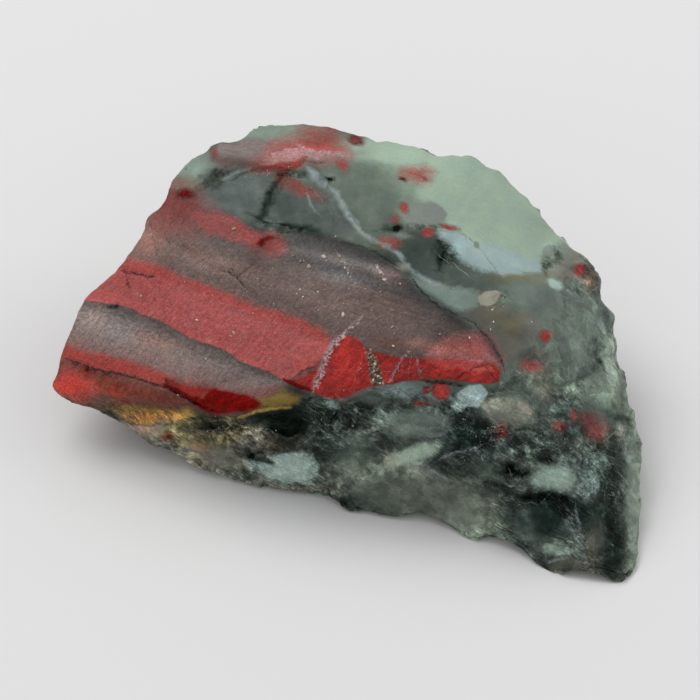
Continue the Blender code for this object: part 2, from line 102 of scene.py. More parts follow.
# Spot heights of the front sheet, (u, v, w). Each of these lines is a fold or edge that the surface follows.
CREST = [
    (-27, -3.4, -3), (-23.8, -3.6, -1.2), (-19, -4.2, 1.2), (-14.8, -4.8, 3), (-10.8, -5.4, 4.6),
    (-7, -5.2, 5.8), (-3, -4.2, 7.2), (-0.3, -4.2, 8), (3, -3, 8.4), (8.2, -2.6, 8.8), (12, -2.6, 8.6),
    (15.2, -2.8, 8),
]
SHOULDER = [(-6, 0, 5.6), (-1.5, 1.5, 7.2), (3, 0.8, 8), (8, 0.6, 8.3), (12.5, 2, 7.8)]
CREVICE = [(3.6, 11, 3.1), (5.4, 8.9, 4.3), (9, 5.4, 6), (12.2, 3.7, 6.9), (15.5, -1, 7.6)]
PEAK_RIDGE = [
    (-14, 17, -5.6), (-10.1, 18.7, -4.6), (-6.1, 18.7, -3.2), (-4.1, 19.5, -2.6), (-1.6, 19.6, -2.9),
]
BLUE_RIDGE = [(-4.1, 19.5, -2.6), (-2.1, 17.3, -1.5), (-1.5, 15.9, -0.5), (0, 13.8, 0.9), (3.6, 11, 3.1)]
SHELF = [(-14.5, 14.6, -4.6), (-9, 13.6, -1.8), (-5.8, 12.7, -0.3), (-3, 12.6, 0.9), (0, 12.2, 2.4)]
RIM_RIDGE = [(26, -3, 1.6), (27, -8, 2.4), (27.3, -13, 3.8), (27, -18, 5.8), (26.4, -21.2, 6.9)]
CORNER_RIDGE = [(20.6, -14, 7.2), (22.4, -17, 7.3), (24.2, -21.2, 6.6)]
FOLDS = [CREST, SHOULDER, CREVICE, PEAK_RIDGE, BLUE_RIDGE, SHELF, RIM_RIDGE, CORNER_RIDGE]
# The line below and right of which the front sheet is a rough wall, drawn from left to right.
WALL_TOP = [(-30, -4), (-10.8, -6), (-2, -5), (15.4, -3.4), (20, 4), (24, 11)]

# Spot heights between the folds.
STRIPED_FACE = [
    (-24.5, 0.5, -2.2), (-22, 5, -3.2), (-14.8, 5.5, 0.3), (-14, -0.5, 2.2), (-4.8, 5.5, 4.6),
    (-17.5, 11, -2.8), (-9, 10.5, 1.2), (1, 9.5, 4.4), (-3.8, 16.8, -1.2), (-8, 16.4, -2.9),
]
GREEN_DOME = [
    (4.6, 18.4, -2.6), (4.6, 15.3, -0.1), (8.5, 17, -2.2), (13, 16, -2.6), (17.5, 12, -1.8), (10, 12, 1.5),
    (14, 9, 2.2), (19.5, 8.5, -0.4), (8.5, 9, 3.5), (22.5, 7, -2), (6.8, 14, 0.8), (6.6, 11.4, 2.4),
]
RIGHT_SIDE = [
    (15.5, 4.5, 4.9), (20, 3, 3), (23.5, 1, 0.8), (19, -2.5, 5.4), (24.5, -4.5, 1.8), (20, -8, 6.2),
    (24.6, -11, 4.4),
]
FRONT_WALL = [
    (-17, -7, -0.8), (-11.5, -8.6, 0.8), (-6, -8.8, 2.6), (-1, -8, 4.9), (4, -7.5, 6.6), (9, -7, 7.6),
    (14, -8, 7.9), (7, -11, 4.8), (12.5, -12.5, 5.4), (17.5, -13, 6.8), (0.5, -12, 2), (-6, -12, -0.6),
    (15, -16, 4.6), (19.5, -18.5, 5.9), (25, -17, 6.2),
]
BETWEEN = STRIPED_FACE + GREEN_DOME + RIGHT_SIDE + FRONT_WALL

# The back sheet's flat breaks: the outward direction in the face plane, how far out it starts, the depth
# there, and how steeply it goes back from there.
BACK_BREAKS = [
    ((-1, 0), 29.4, -5.4, 1.3),
    ((-0.75, 0.66), 23.4, -9.8, 1.4),
    ((0, 1), 22.9, -10.4, 1.1),
    ((0.68, 0.73), 23.5, -8.8, 1.35),
    ((1, 0), 29.2, -5.5, 1.5),
    ((-0.45, -0.89), 16.3, -5.6, 0.9),
]
# Shell-shaped scars on the back sheet: (u, v) of the middle, radius of the hollow, and how deep it bites.
BACK_SCARS = [(-12, 12.5, 24, 1.7), (4.5, 16, 30, 1.5), (17.5, 7, 20, 1.6), (-20, 3, 17, 1.2)]

# Ledges of the front sheet: the line along which the surface breaks, how deep it drops on the right-hand side
# of that line's direction, and how far it takes to come back up.
BAND_LEDGE = [
    (-13.6, -5.2), (-10.8, -5.7), (-7, -5.8), (-4.4, -5), (-2.8, -4.3), (-0.6, -4.9), (1.2, -4.2), (3, -3.4),
    (6, -3), (10, -2.8), (15.4, -3),
]
CREVICE_LEDGE = [(15.6, -2.4), (14.4, 1.6), (12.2, 3.7), (9, 5.4), (7.2, 6.8), (5.4, 8.9), (3.6, 11)]
PEAK_LEDGE = [
    (-12.6, 17.6), (-10.1, 18.6), (-7.3, 18.8), (-5.6, 18.7), (-4.8, 19.2), (-4.1, 19.7), (-3.3, 19.3),
    (-1.3, 19.6),
]
NOTCH_LEDGE = [(-8.9, 13.8), (-8.4, 14.7), (-8.1, 15.7), (-7.7, 16.8), (-7.1, 17.5), (-6.6, 18.3)]
FACET_FOOT = [(-10.1, 14.2), (-8.6, 13.5), (-7.3, 13.1), (-5.8, 12.9), (-4, 12.7), (-2.4, 12.4)]
LEDGES = [
    (BAND_LEDGE, 1.1, 3.2),
    (CREVICE_LEDGE, 0.7, 2.6),
    (PEAK_LEDGE, 0.5, 2.4),
    (NOTCH_LEDGE, 0.7, 2.6),
    (FACET_FOOT, 0.6, 1.6),
    ([(-12.9, 18.6), (-13.2, 17.6), (-13.8, 16.8)], 0.35, 1.6),
    ([(17, -13.7), (20, -14.6), (22.5, -14.1), (25, -14.4)], 0.7, 2.2),
    ([(5.3, -11.3), (8, -10.6), (9.9, -10), (12.6, -9.2)], 0.45, 2.5),
    ([(21.4, -3.4), (23.6, -4.8), (26.4, -5.6), (28.4, -6)], 0.5, 1.8),
    ([(16, 8.6), (19.5, 8), (21.5, 9.2), (22.6, 11.2)], 0.35, 1.8),
]

# Low ridges of the front sheet: the line, how high it stands, and its half-width.
RIDGES = [
    ([(-1.9, 16.8), (-1.1, 15.9), (-0.3, 14.6), (0.7, 13.1), (1.8, 12), (3, 11.3), (5.1, 9)], 0.4, 0.5),
    ([(-4.2, 18.6), (-3.4, 18.1), (-2.7, 17.2)], 0.35, 0.4),
    ([(21.5, -16.4), (22.6, -18.1), (23.5, -20.6)], 0.3, 0.5),
    ([(24.6, -14.4), (24.2, -15.9), (23.6, -18.5)], 0.25, 0.4),
    ([(9.5, -10.2), (11, -9.8), (12.4, -9.4)], 0.25, 0.35),
]

# Hollows and swellings of the front sheet: (u, v), half-length, half-width, tilt in degrees, and how far each
# one sinks, negative where it swells.
DENTS = [
    (-6.2, -6.6, 3.4, 1.9, 0, 0.9), (-1.6, -6.6, 2.2, 2.2, 0, 0.9), (12.6, -8, 4.8, 2.8, -30, 0.45),
    (16.8, -11.5, 2, 1.1, 0, 0.4), (19, -16.4, 3.8, 2.2, 0, 0.4), (26, -17.8, 1.9, 3.8, 0, 0.35),
    (24.9, -0.6, 1.4, 2, 20, 0.5), (9.9, 10.8, 1.6, 1.2, 0, 0.2), (7.2, -6.4, 4.4, 2.4, 10, -0.7),
    (20.6, -12.6, 3.4, 1.8, 0, -0.45), (-11, -9.6, 3, 1.8, -15, -0.5), (2.6, -12.8, 2.6, 1.8, 0, -0.4),
    (17.6, 3.6, 3.6, 2.4, -20, -0.5),
]

LUMPS = [(9, 0.5), (3.6, 0.2)]  # the size of each kind of lump, and how far it stands
SCALLOPS = [(7.5, 0.75), (3.4, 0.3)]  # the size of each kind of small scar, and its depth from rim to middle
OFFSET = (17.3, 5.9, 31.7)  # keeps the three parts of the scars' bending apart from each other
SMOOTH_FACES = 0.12  # the share of the scallops' depth that shows on the striped face and the green dome
ROUGH_WALL = 0.9  # the share that shows below the crest
TORN_FROM = 0.2  # the share at which the break begins to be torn
HACKLE = [(1.9, 0.2), (0.8, 0.16)]  # the size of each kind of torn ridge, and its height
CHIPS = [(1.7, 0.3), (0.8, 0.16)]  # the size of each kind of small chip, and its depth
# The direction, spacing and height of each kind of small step.
FLAKES = [((0.5, -0.6, 0.3), 1.3, 0.22), ((-0.3, -0.8, 0.4), 0.7, 0.12)]

# The banded face's layer boundaries, from the top one to the bottom one, each from left to right: (u, v).
LAYER_EDGES = [
    [(-20.8, 14.8), (-19.1, 14.3), (-16.6, 13.2), (-12.5, 12), (-8.6, 10.1), (-3.8, 8.3), (5.2, 5.5),
        (15.2, 1)],
    [(-22.8, 9.9), (-20.8, 9.3), (-18, 8.5), (-14.3, 6.9), (-10.4, 5.7), (-7.6, 4.6), (-4.8, 3.8),
        (-2.6, 2.9), (-1.6, 1.8), (-0.3, 1), (5.2, -0.5), (15.2, -4.5)],
    [(-26.8, 5.8), (-24.3, 5.3), (-21.5, 4.6), (-18.7, 3.5), (-15.9, 2.3), (-13.1, 0.9), (-10.4, -0.4),
        (-7.6, -1.9), (-5.9, -2.7), (-1.7, -4.3), (5.2, -4.9), (15.2, -5.5)],
    [(-29.8, 1.5), (-28.6, 1.1), (-27.3, 0.8), (-24.8, -0.1), (-22.8, -0.8), (-20.1, -1.6), (-17.3, -2.7),
        (-14.5, -3.2), (-12, -3.7), (-9.3, -3.7), (-5.9, -2.9), (-1.7, -4.4), (5.2, -5), (15.2, -5.6)],
    [(-29.8, 0.1), (-28.4, -0.3), (-26.2, -1.2), (-23.4, -1.6), (-20.6, -2.5), (-17.9, -3.4), (-15.4, -4.8),
        (-13.1, -6), (-10.3, -5.7), (-8.6, -5.3), (-4.8, -4.7), (-1.7, -4.7), (5.2, -5.3), (15.2, -5.9)],
]
# The colour at each layer number, which is divided by 6.
LAYER_COLOURS = [
    (0, (0.085, 0.08, 0.075)), (0.13, (0.11, 0.09, 0.085)), (0.167, (0.17, 0.12, 0.105)),
    (0.25, (0.2, 0.137, 0.12)), (0.31, (0.165, 0.115, 0.102)), (0.333, (0.22, 0.13, 0.11)),
    (0.36, (0.3, 0.1, 0.09)), (0.485, (0.28, 0.08, 0.07)), (0.5, (0.085, 0.074, 0.068)),
    (0.525, (0.13, 0.105, 0.098)), (0.58, (0.24, 0.19, 0.175)), (0.64, (0.26, 0.165, 0.15)),
    (0.667, (0.29, 0.12, 0.1)), (0.83, (0.16, 0.062, 0.045)), (0.9, (0.14, 0.05, 0.034)),
    (1, (0.13, 0.08, 0.045)),
]
# How light the banded face is, from BANDS_START at 0 to BANDS_END at 1.
LIGHT_ALONG = [
    (0.07, 1), (0.24, 0.95), (0.36, 0.85), (0.52, 0.75), (0.71, 0.75), (0.83, 0.62), (0.93, 0.45), (1, 0.4),
]
BANDS_START, BANDS_END = -30.0, 12.0
# The colour of each kind of red and each kind of pale patch, by the number that its patch gives it.
RED_COLOURS = [
    (0, (0.56, 0.34, 0.33)), (0.25, (0.46, 0.087, 0.08)), (0.5, (0.4, 0.048, 0.037)),
    (0.75, (0.38, 0.018, 0.014)), (0.86, (0.19, 0.05, 0.03)), (0.93, (0.24, 0.003, 0.002)),
    (1, (0.23, 0.003, 0.002)),
]
PALE_COLOURS = [
    (0, (0.35, 0.46, 0.46)), (0.2, (0.36, 0.475, 0.37)), (0.4, (0.21, 0.295, 0.255)),
    (0.5, (0.235, 0.262, 0.235)), (0.66, (0.4, 0.37, 0.29)), (0.8, (0.19, 0.205, 0.155)),
    (0.9, (0.19, 0.122, 0.022)), (1, (0.47, 0.31, 0.055)),
]
# The tint of the green rock by its hue, from blue to brown, and by its lightness where it is dark.
ROCK_TINTS = [
    (0, (0.74, 1, 0.97)), (0.25, (0.77, 1, 0.92)), (0.5, (0.75, 1, 0.78)), (0.7, (0.92, 1, 0.84)),
    (0.85, (1.03, 1, 0.82)), (1, (1.14, 1, 0.5)),
]
DARK_TINTS = [
    (0, (0.5, 1, 0.8)), (0.3, (0.7, 1, 0.85)), (0.5, (0.93, 1, 0.92)), (0.7, (1, 1, 0.97)),
]
DARKEST_ROCK = 0.012  # the green rock's lightness at tone 0
ROCK_CONTRAST = 35.0  # how many times lighter it is at tone 1
MAUVE_COLOURS = [(0.3, (0.19, 0.145, 0.13)), (0.7, (0.27, 0.22, 0.2))]
CLOUD_SIZE = 1 / 0.45
CLOUD_TINTS = [(0.3, (0.88, 0.9, 0.93)), (0.7, (1, 1, 0.96))]
WEDGE_COLOURS = [(0.38, (0.02, 0.018, 0.016)), (0.52, (0.1, 0.07, 0.05)), (0.68, (0.4, 0.3, 0.2))]
VEIN_COLOURS = [(0.38, (0.2, 0.1, 0.1)), (0.58, (0.48, 0.36, 0.36))]
QUARTZ_COLOURS = [(0.38, (0.75, 0.72, 0.66)), (0.5, (0.62, 0.56, 0.45)), (0.62, (0.45, 0.32, 0.16))]
# the black of the dark spots and pits, and of the painted shade in the notch, the hollow under the ledge and
# under the mint block
SPOT_AND_SHADE_BLACK = (0.005, 0.009, 0.006)
FLAKE_BLACK = (0.008, 0.024, 0.019)
SCRATCH_GREY = (0.34, 0.38, 0.35)
CHALKY_GREEN = (0.5, 0.56, 0.52)
# the bluish colour of the painted highlights along ridges and edges
HIGHLIGHT_BLUE = (0.29, 0.36, 0.365)
CRACK_TINT = (0.09, 0.05, 0.05)
BLOTCH_TINT = (0.42, 0.3, 0.3)
PALE_GREY = (0.86, 0.86, 0.86)

EDGE_WOBBLE = [(1.5, 0.22), (0.6, 0.16)]  # the size of each unevenness of a patch's edge, and its reach
LINE_WOBBLE = [(1.5, 0.14), (0.6, 0.16)]  # the same for cracks and veins

# Smooth facets of the rough wall: (u, v), half-length, half-width, tilt in degrees and strength.
CALM_AREAS = [
    (-16.4, 18.7, 1.8, 1.2, 45, 0.95), (29.2, -18.5, 1.2, 4, 0, 0.8), (9.2, -14.5, 6.4, 3, -18, 0.95),
    (3.7, -13.7, 3.8, 2.8, -10, 0.9), (6.7, -6.9, 3.2, 1.6, 0, 0.9), (19, -16.9, 2.8, 1.9, 0, 0.8),
    (24.9, -18, 1.1, 2, 0, 0.9), (21.4, -20.9, 2, 0.7, 0, 0.9), (28.6, -14.5, 1, 7.5, 0, 0.9),
    (-13.3, -10.1, 3.4, 1.2, -20, 0.85), (13.7, -11.5, 2, 1, -20, 0.7), (21.7, 2.5, 6, 6, 0, 0.85),
    (25.7, -4, 2.8, 4.5, 0, 0.75), (17.7, -4.5, 3, 2.2, 0, 0.7), (0.7, -10.5, 2.6, 2.6, 0, 0.6),
    (20.4, -12.4, 2.6, 1.4, 0, 0.9), (6.4, -10, 3.4, 1.1, 20, 0.9), (20.5, -19.4, 1.7, 0.7, -5, 0.95),
    (-6, -11.3, 3.2, 1.6, 0, 0.6), (-6, -6.5, 2.2, 1.1, 0, 0.8), (-19.8, -7.5, 2, 1, -10, 0.5),
    (15.2, -5.7, 3.4, 1.2, -15, 0.8),
]
# Areas of small black flakes and pale scratches, given in the same way.
SHATTERED_AREAS = [
    (-12, -7, 3.4, 1.1, -5, 0.8), (-2.3, -6, 2.8, 2.4, -20, 0.85), (1.7, -5.7, 2.4, 1, -20, 0.9),
    (-1, -9.1, 1.7, 0.7, -35, 0.7), (-9, -7.5, 1.4, 0.7, 0, 0.4), (-4.3, -4.7, 1.8, 0.5, 20, 0.9),
    (5.2, -3.8, 3.8, 0.7, -3, 0.7), (10.7, -5.3, 1.8, 0.8, 0, 0.9), (12.4, -8.1, 2.8, 2.2, -15, 0.95),
    (17.7, -8.9, 3.4, 1.8, -10, 0.7), (19.7, -10, 2.8, 1, 0, 0.7), (15.7, -11.7, 1.6, 1.2, 0, 0.8),
    (24.4, -10, 2.2, 2, 0, 0.6), (26.2, -12.3, 1.2, 2.2, 0, 0.8), (19.7, -14.4, 4, 0.8, 0, 0.9),
    (26.2, -17, 1, 3, 5, 0.7), (-10.8, -11.8, 1.5, 0.6, -30, 0.6), (15, -3.3, 0.8, 1.8, -60, 0.6),
    (-6.3, 12.6, 3.4, 0.6, -8, 0.6), (-5.8, 18.1, 2.4, 0.5, 0, 0.6), (-13.4, 17.7, 2, 0.6, 15, 0.5),
    (-16.2, 16.1, 0.8, 0.5, 0, 0.6), (8.2, 12.7, 2.6, 0.5, -5, 0.5), (10, 10.1, 1.2, 1.3, 0, 0.8),
    (15.2, 5.7, 1.2, 0.8, 0, 0.5), (22.7, 6.5, 1.8, 0.8, 0, 0.4), (25, -0.3, 0.8, 1.4, 10, 0.6),
]
# Pushes of the outline: (u, v), reach, and how far it moves along u and v.
EDGE_DRAGS = [
    (-28.6, 0.5, 2.2, -0.45, 0.1), (-27, 3.7, 1.4, -0.25, 0.1), (-29.4, -3, 1.2, -0.15, 0),
    (-17.6, 17.2, 1.4, -0.3, 0.25), (-19.8, 13.3, 1.2, -0.3, 0.1), (-15.8, 19.2, 1.4, -0.2, 0.25),
    (-13.4, 21, 1.2, -0.1, 0.4), (4.9, 21.3, 1.8, 0, 0.3), (21.2, 11.5, 1, 0.2, 0.2),
    (25.2, 7.8, 1.6, 0.45, 0.1), (26.6, 3.8, 1, 0.3, 0), (27.4, -0.8, 1.2, -0.35, 0),
    (29.3, -8.8, 1.4, 0.3, 0), (29.3, -13.8, 2.2, 0.25, 0), (28.9, -19.8, 1.6, 0.3, -0.1),
    (25.3, -22.2, 1.2, -0.1, 0.3), (19.7, -21.7, 1.4, 0, -0.25), (12.2, -18.5, 1.6, 0, -0.3),
    (4.5, -16.1, 2.2, 0, -0.3), (0.2, -15.4, 1.2, -0.1, -0.25), (-4.8, -13.8, 1.4, 0, 0.2),
    (-9.5, -13.1, 1.4, 0, -0.25), (-15.8, -11.1, 1.2, -0.05, -0.2), (-23.5, -6.6, 1.2, -0.15, -0.25),
    (-27.5, -5.1, 1.2, -0.1, -0.2), (-1.8, 22.7, 2, 0, 0.15), (13, 19.7, 2.5, 0.05, 0.1),
    (18.2, 14, 2, 0.15, 0.1),
]
# Grains that stand out: (u, v) and size.
STANDING_GRAINS = [
    (-5.5, 9.9, 0.16), (-4.8, 9.3, 0.2), (-4.4, 9.4, 0.14), (-3.9, 8.8, 0.32), (-2.4, 9.8, 0.23),
    (-1.2, 11.8, 0.22), (-0.8, 9.8, 0.16), (-0.6, 9.3, 0.14), (-0.3, 8.7, 0.14), (0, 8.1, 0.16),
    (2.9, 8.7, 0.16), (3.2, 8.2, 0.15), (3.6, 7.5, 0.19), (5.2, 7.1, 0.14), (-11.4, 12.6, 0.23),
    (-7.6, 12.5, 0.14), (-20.7, 5.9, 0.22), (-15.1, 3.5, 0.14), (-11.4, 2.2, 0.2), (-11.7, 1.9, 0.14),
    (-14.2, -0.4, 0.14), (-0.5, 4, 0.22), (4.4, 2.8, 0.14), (4.6, 2.1, 0.16), (4.5, 0.9, 0.16),
    (-3, 6.3, 0.14), (-4.8, 6.5, 0.14), (-5.1, 6.1, 0.14), (-4.5, 5.8, 0.14), (12.1, 1.7, 0.14),
    (14.5, 3.3, 0.14), (14.2, 2.5, 0.16), (10.5, 6.6, 0.11), (2.3, -0.2, 0.16), (2.7, -0.9, 0.19),
    (2.6, -1.6, 0.16), (3, -2.1, 0.16), (3.2, -2.8, 0.16), (2.5, -2.5, 0.14), (18.3, 3.3, 0.14),
    (-17, -4, 0.11), (14.4, 4.5, 0.14),
]
# Fine grains: (u, v), half-length, half-width and tilt of the oval they lie in, and their number.
STREWN_GRAINS = [
    (-1.8, 8.7, 6, 1.4, -12, 22), (0.2, 5, 6, 2, -12, 18), (-11.8, 5.5, 9, 4, -20, 30),
    (10.2, 2.5, 3, 1.2, -10, 8), (2.7, -1.3, 0.5, 1.4, 10, 26), (-1.8, -6, 2.5, 2, 0, 20),
    (12.2, -8.3, 3, 2, 0, 20), (21.2, -9.5, 5, 4, 0, 26), (-12.3, -7.5, 4, 1.2, -5, 24),
    (-7.8, 17.7, 6, 1.2, 0, 30), (15.2, 5, 1.4, 0.8, 0, 8),
]
# Soft shades: (u, v), half-length, half-width, tilt in degrees, how much lighter and how much warmer.
SOFT_SHADES = [
    (-22.8, 6.9, 3.4, 1.6, 15, -0.25, 0.12),  # the main band's left end
    (-25.4, 4.1, 2, 1.3, 0, 0.65, 0.04),  # the grey band's light left end
    (-18.3, 0.7, 9, 2, -22, 0.28, 0.03),  # the grey band
    (-22.6, 2.3, 2, 1.2, 0, 0.15, -0.1),  # light grey in it
    (-19.3, 1.5, 2.6, 0.9, -16, 0.05, 0.17),  # pink in the grey band
    (-20.3, 11, 1.8, 1.8, 0, 0.45, 0.25),  # the banded face's left edge
    (-19.9, 12.2, 0.7, 0.8, 0, 0.3, 0),  # its upper part
    (-15.8, 10.9, 1.2, 0.7, -20, -0.15, 0.15),  # red tinge above the main band
    (4.8, 8.1, 0.8, 0.5, -35, 0.45, 0.2),  # pink end of the light layer
    (-13.6, 9.1, 4, 1.2, -15, 0.5, 0.05),  # light mauve
    (-2.8, 5.3, 9.5, 2, -14, 0.27, 0.03),  # mauve above the main band
    (-0.3, 9.3, 5, 0.6, -14, 1.15, 0),  # light layer under the peak
    (-6, 10.3, 1.4, 0.6, 0, 0.55, 0),  # its left end
    (3.4, 8.2, 1.6, 0.6, -28, 0.9, 0.08),  # its right end
    (-0.6, 7.7, 4, 0.7, -13, 0.85, -0.12),  # second light layer
    (3.7, 5.5, 4, 1.4, -28, 0.18, 0.03),  # above the grey band
    (-7, 12.2, 1.6, 0.5, -15, 0.55, 0.1),  # left of the dark layer
    (-0.3, 11, 5.6, 0.5, -20, -0.75, 0),  # dark layer under the blue ridge
    (10.7, 3.3, 1.6, 0.7, -35, -0.5, -0.05),  # dark layer by the crevice
    (5.7, 4.5, 2, 1, 0, 0.15, 0),  # light mauve
    (7, 1.2, 1.4, 0.7, 0, 0.55, 0.15),  # pinkish mauve over the haze
    (4.4, 1.2, 2, 0.5, -8, 0, 0.25),  # red tinge
    # the next row is painted shade in the scar behind the star crack
    (-9.3, 9.7, 1.4, 0.7, 55, -0.45, 0.08),  # dark behind the star crack
    (-10.8, 15.2, 3, 1, -8, -0.45, -0.02),  # first grey facet
    (-13.3, 13, 5.5, 1.6, -22, -0.45, 0),  # upper band
    # the next row is painted shade on the same scar
    (-8.6, 9.7, 0.8, 1, 50, -0.15, 0.05),  # dark side of the star crack
    (-17.3, 14.9, 1.8, 1.3, 0, -0.35, 0),  # its left end
    (-27.6, -3.1, 2.2, 1.4, 0, -0.1, 0.43),  # the tip's orange
    (-23, -3.5, 4, 1.2, -12, 0.5, -0.05),  # brown ripples
    (-28.6, -3.6, 1.4, 0.8, -30, 0.45, 0),  # rim of the tip
    (-23, -4.2, 1.4, 0.5, -20, 0.3, 0.2),  # brown above the ochre
    (6.7, 19.7, 3.4, 1.2, -10, 0.2, 0),  # first third of the dome
    (16.2, 9.3, 2.2, 0.8, -15, 0.1, 0),  # blue foot of the dome
    (11.7, 0.9, 3, 0.9, 0, -0.42, 0.2),  # orange haze
    (6.7, -1.7, 1.6, 1.2, 0, -0.25, 0),  # red right end
    (13.2, -1.5, 1.4, 0.8, 0, 0.5, -0.1),  # pale tip of it
    (12.2, -4, 1.8, 1.2, -35, 0.45, 0),  # block under the ledge
    (20.4, -12.4, 2.8, 1.6, 0, 0.15, 0),  # mint block
    (6.4, -9.9, 3.2, 1.2, 18, 0.2, 0),  # mint streak
    (4.3, -10.6, 0.9, 0.5, 28, -0.15, 0.15),  # its cream end
    (20.7, 7.1, 1.2, 0.7, -28, 0.25, 0),  # chip by the dome
    (12.2, 5.5, 1.4, 0.8, 0, -0.35, 0),  # teal lens, right end
    (-0.8, 13, 3, 0.8, -25, -0.25, 0),  # second grey facet's foot
    (15.5, -6.5, 1.8, 0.5, -8, -0.4, 0),  # fawn block's foot
    (13.5, -14.8, 1.1, 1, 0, -0.35, 0),  # low grey face, right
    (11, -16.5, 1.2, 0.8, 0, 0.25, 0),  # low grey face, middle
    (24.4, -12.3, 1.4, 2, 0, 0.35, -0.06),  # right of the block
    (28.8, -9.3, 0.7, 1.2, 0, -0.3, 0),  # right rim, upper
    (28.8, -12.7, 0.6, 1.4, 0, 0.3, 0),  # right rim, middle
    (23.2, 7.1, 1.2, 0.6, 0, 0.25, 0),  # beside the orange
    (20, 10.7, 0.5, 0.5, 0, 0.3, 0),  # grey chip at the dome's corner
    (23.7, -13.5, 0.7, 0.7, 0, 0.1, 0),  # below right of the block
    (22.7, -9.5, 0.8, 0.6, 0, 0.4, 0),  # right of the broken part
    (13, 10.9, 1.6, 0.8, -35, 0.12, 0),  # edge of the dome
    (-2.2, 15.7, 0.8, 0.9, 0, -0.3, 0),  # left of the ridge
    (0.4, 16.3, 0.7, 0.7, 0, -0.2, 0),  # right of the ridge
    (-2, 17.9, 0.9, 0.5, -35, 0.3, 0),  # top of the ridge
    (1.3, 20.3, 0.8, 0.3, 0, -0.25, 0.08),  # moss green
    (24.7, -19.4, 0.6, 0.9, 0, 0.4, 0),  # brown-grey facet
    (-10.2, -8.5, 0.7, 0.5, 0, 0.3, 0),  # pale bit on the wall
    (11, 10.7, 0.7, 1, -40, 0.25, -0.05),  # blue-white by the dark spot
    (-5.6, -11.3, 3.4, 1.8, 0, 0.25, 0),  # mint foot
    # the next row is a brown strip, darkened with painted shade where the surface turns down under the mauve
    # facet
    (-11.2, 19.3, 2.6, 0.55, -8, -1.1, 0.12),  # dark strip under the mauve facet
    (-14.7, -9.2, 0.9, 0.6, -10, -0.35, 0.25),  # pinkish patch on the wall
    (-13.4, -8.5, 0.7, 0.5, 0, 0.5, 0),  # pale bit above it
    (-20.3, -7.4, 1.4, 0.6, -10, 0.3, 0.25),  # cream skin
    (-17.7, -9.3, 0.8, 0.5, -20, 0.6, 0),  # grey foot
    (24.4, 7.4, 0.8, 0.9, 0, 0.5, 0.35),  # orange-brown by the rim
    (-4.3, 20.2, 3.4, 0.8, 0, 0.3, -0.08),  # arrow
    (-20.3, -6.1, 2.4, 0.7, 0, 0.1, 0.3),  # ochre streak
    (-17.5, -6.1, 1.6, 0.5, 0, 0.8, 0.15),  # its right part
    (-5.1, -3.5, 1.1, 0.5, -15, -1.4, 0),  # dark end of the ochre lens
    (3.3, -10.6, 1.4, 0.5, 0, 0.45, 0),  # above the low grey face
    (3.6, -12.6, 1.4, 0.8, 0, -0.45, 0),  # its left end
    (4.7, 13.9, 0.8, 0.7, 0, -0.25, -0.1),  # green right of the upper band
    (0.2, -0.3, 2.2, 1.8, -40, 0.5, 0.03),  # deep red at the fold
    (7, 1.1, 1.2, 0.7, 0, 0.25, 0),  # light red mauve by the veins
    (9.3, -3.6, 0.8, 0.8, 0, 0.3, 0.05),  # loose red piece
    (5.2, -1.3, 1.4, 0.8, 0, 0.35, 0),  # deep red by the vein
    (-1, -2.8, 1.4, 1, 0, 0.3, -0.03),  # deep red below the vein
    (-4.2, -1.4, 1, 0.8, -30, 0.3, 0.05),  # red left of the vein
    (9.7, -1.2, 1.8, 0.7, 0, 0.05, 0.22),  # its middle
    (8.9, 0.7, 1.2, 0.7, 0, 0.5, 0.05),  # haze, left end
    (15, -4.7, 1.6, 0.7, 0, 0.65, 0),  # fawn block
    (-8, 10.8, 1.6, 0.7, -20, -0.25, 0.08),  # end of the upper band
    (19.2, 13, 1.4, 1.8, -50, -0.12, 0),  # darker dome edge
    (23.2, -6.5, 2.8, 1.2, 0, -0.5, -0.25),  # dull red by the rim
    (7, -6.5, 3, 1.2, 0, 0.15, 0),  # oval on the wall
    # the next two rows are painted shade in the crevice
    (8.8, 5.3, 2.6, 0.4, -38, -1, 0),  # crevice
    (14.3, 0.9, 2, 0.4, -60, -0.9, 0),  # crevice's lower end
]

# The face that carries the bands, and the mauve facet above the peak.
BANDED_FACE = [
    (-30.8, 0.5), (-25.8, 11.5), (-21.8, 17.3), (-18.8, 16.9), (-16.3, 15.9), (-14.1, 14.5), (-10.8, 12.9),
    (-9, 12.9), (-8, 12.5), (-4.8, 12.2), (-1.8, 11.8), (1.2, 10.7), (3.7, 9.5), (5.2, 8.4), (6.5, 6.8),
    (7.7, 5.6), (9.7, 4.4), (11.4, 3.3), (13.4, 2.1), (14.7, 0.7), (15.4, -0.9), (15.2, -2.3), (14.2, -2.8),
    (9.2, -2.5), (5.2, -2.5), (2.2, -3.2), (-0.3, -4.6), (-1.7, -4.5), (-3.4, -3.8), (-5.9, -2.8),
    (-8.6, -5.3), (-10.8, -5.9), (-13.1, -6), (-15.4, -5.3), (-18.8, -5.5), (-22.6, -5.7), (-24.8, -5.6),
    (-26.5, -5.3), (-31.8, -4.5),
]
MAUVE_TOP = [
    (-13.3, 20.5), (-12.9, 21.3), (-11.1, 21.2), (-10.3, 21.8), (-9.6, 21.8), (-6.3, 21.5), (-5.6, 20.9),
    (-6.4, 20.3), (-7.8, 19.7), (-9.3, 19.2), (-11.3, 18.9), (-12.6, 18.6), (-13.4, 19.3),
]

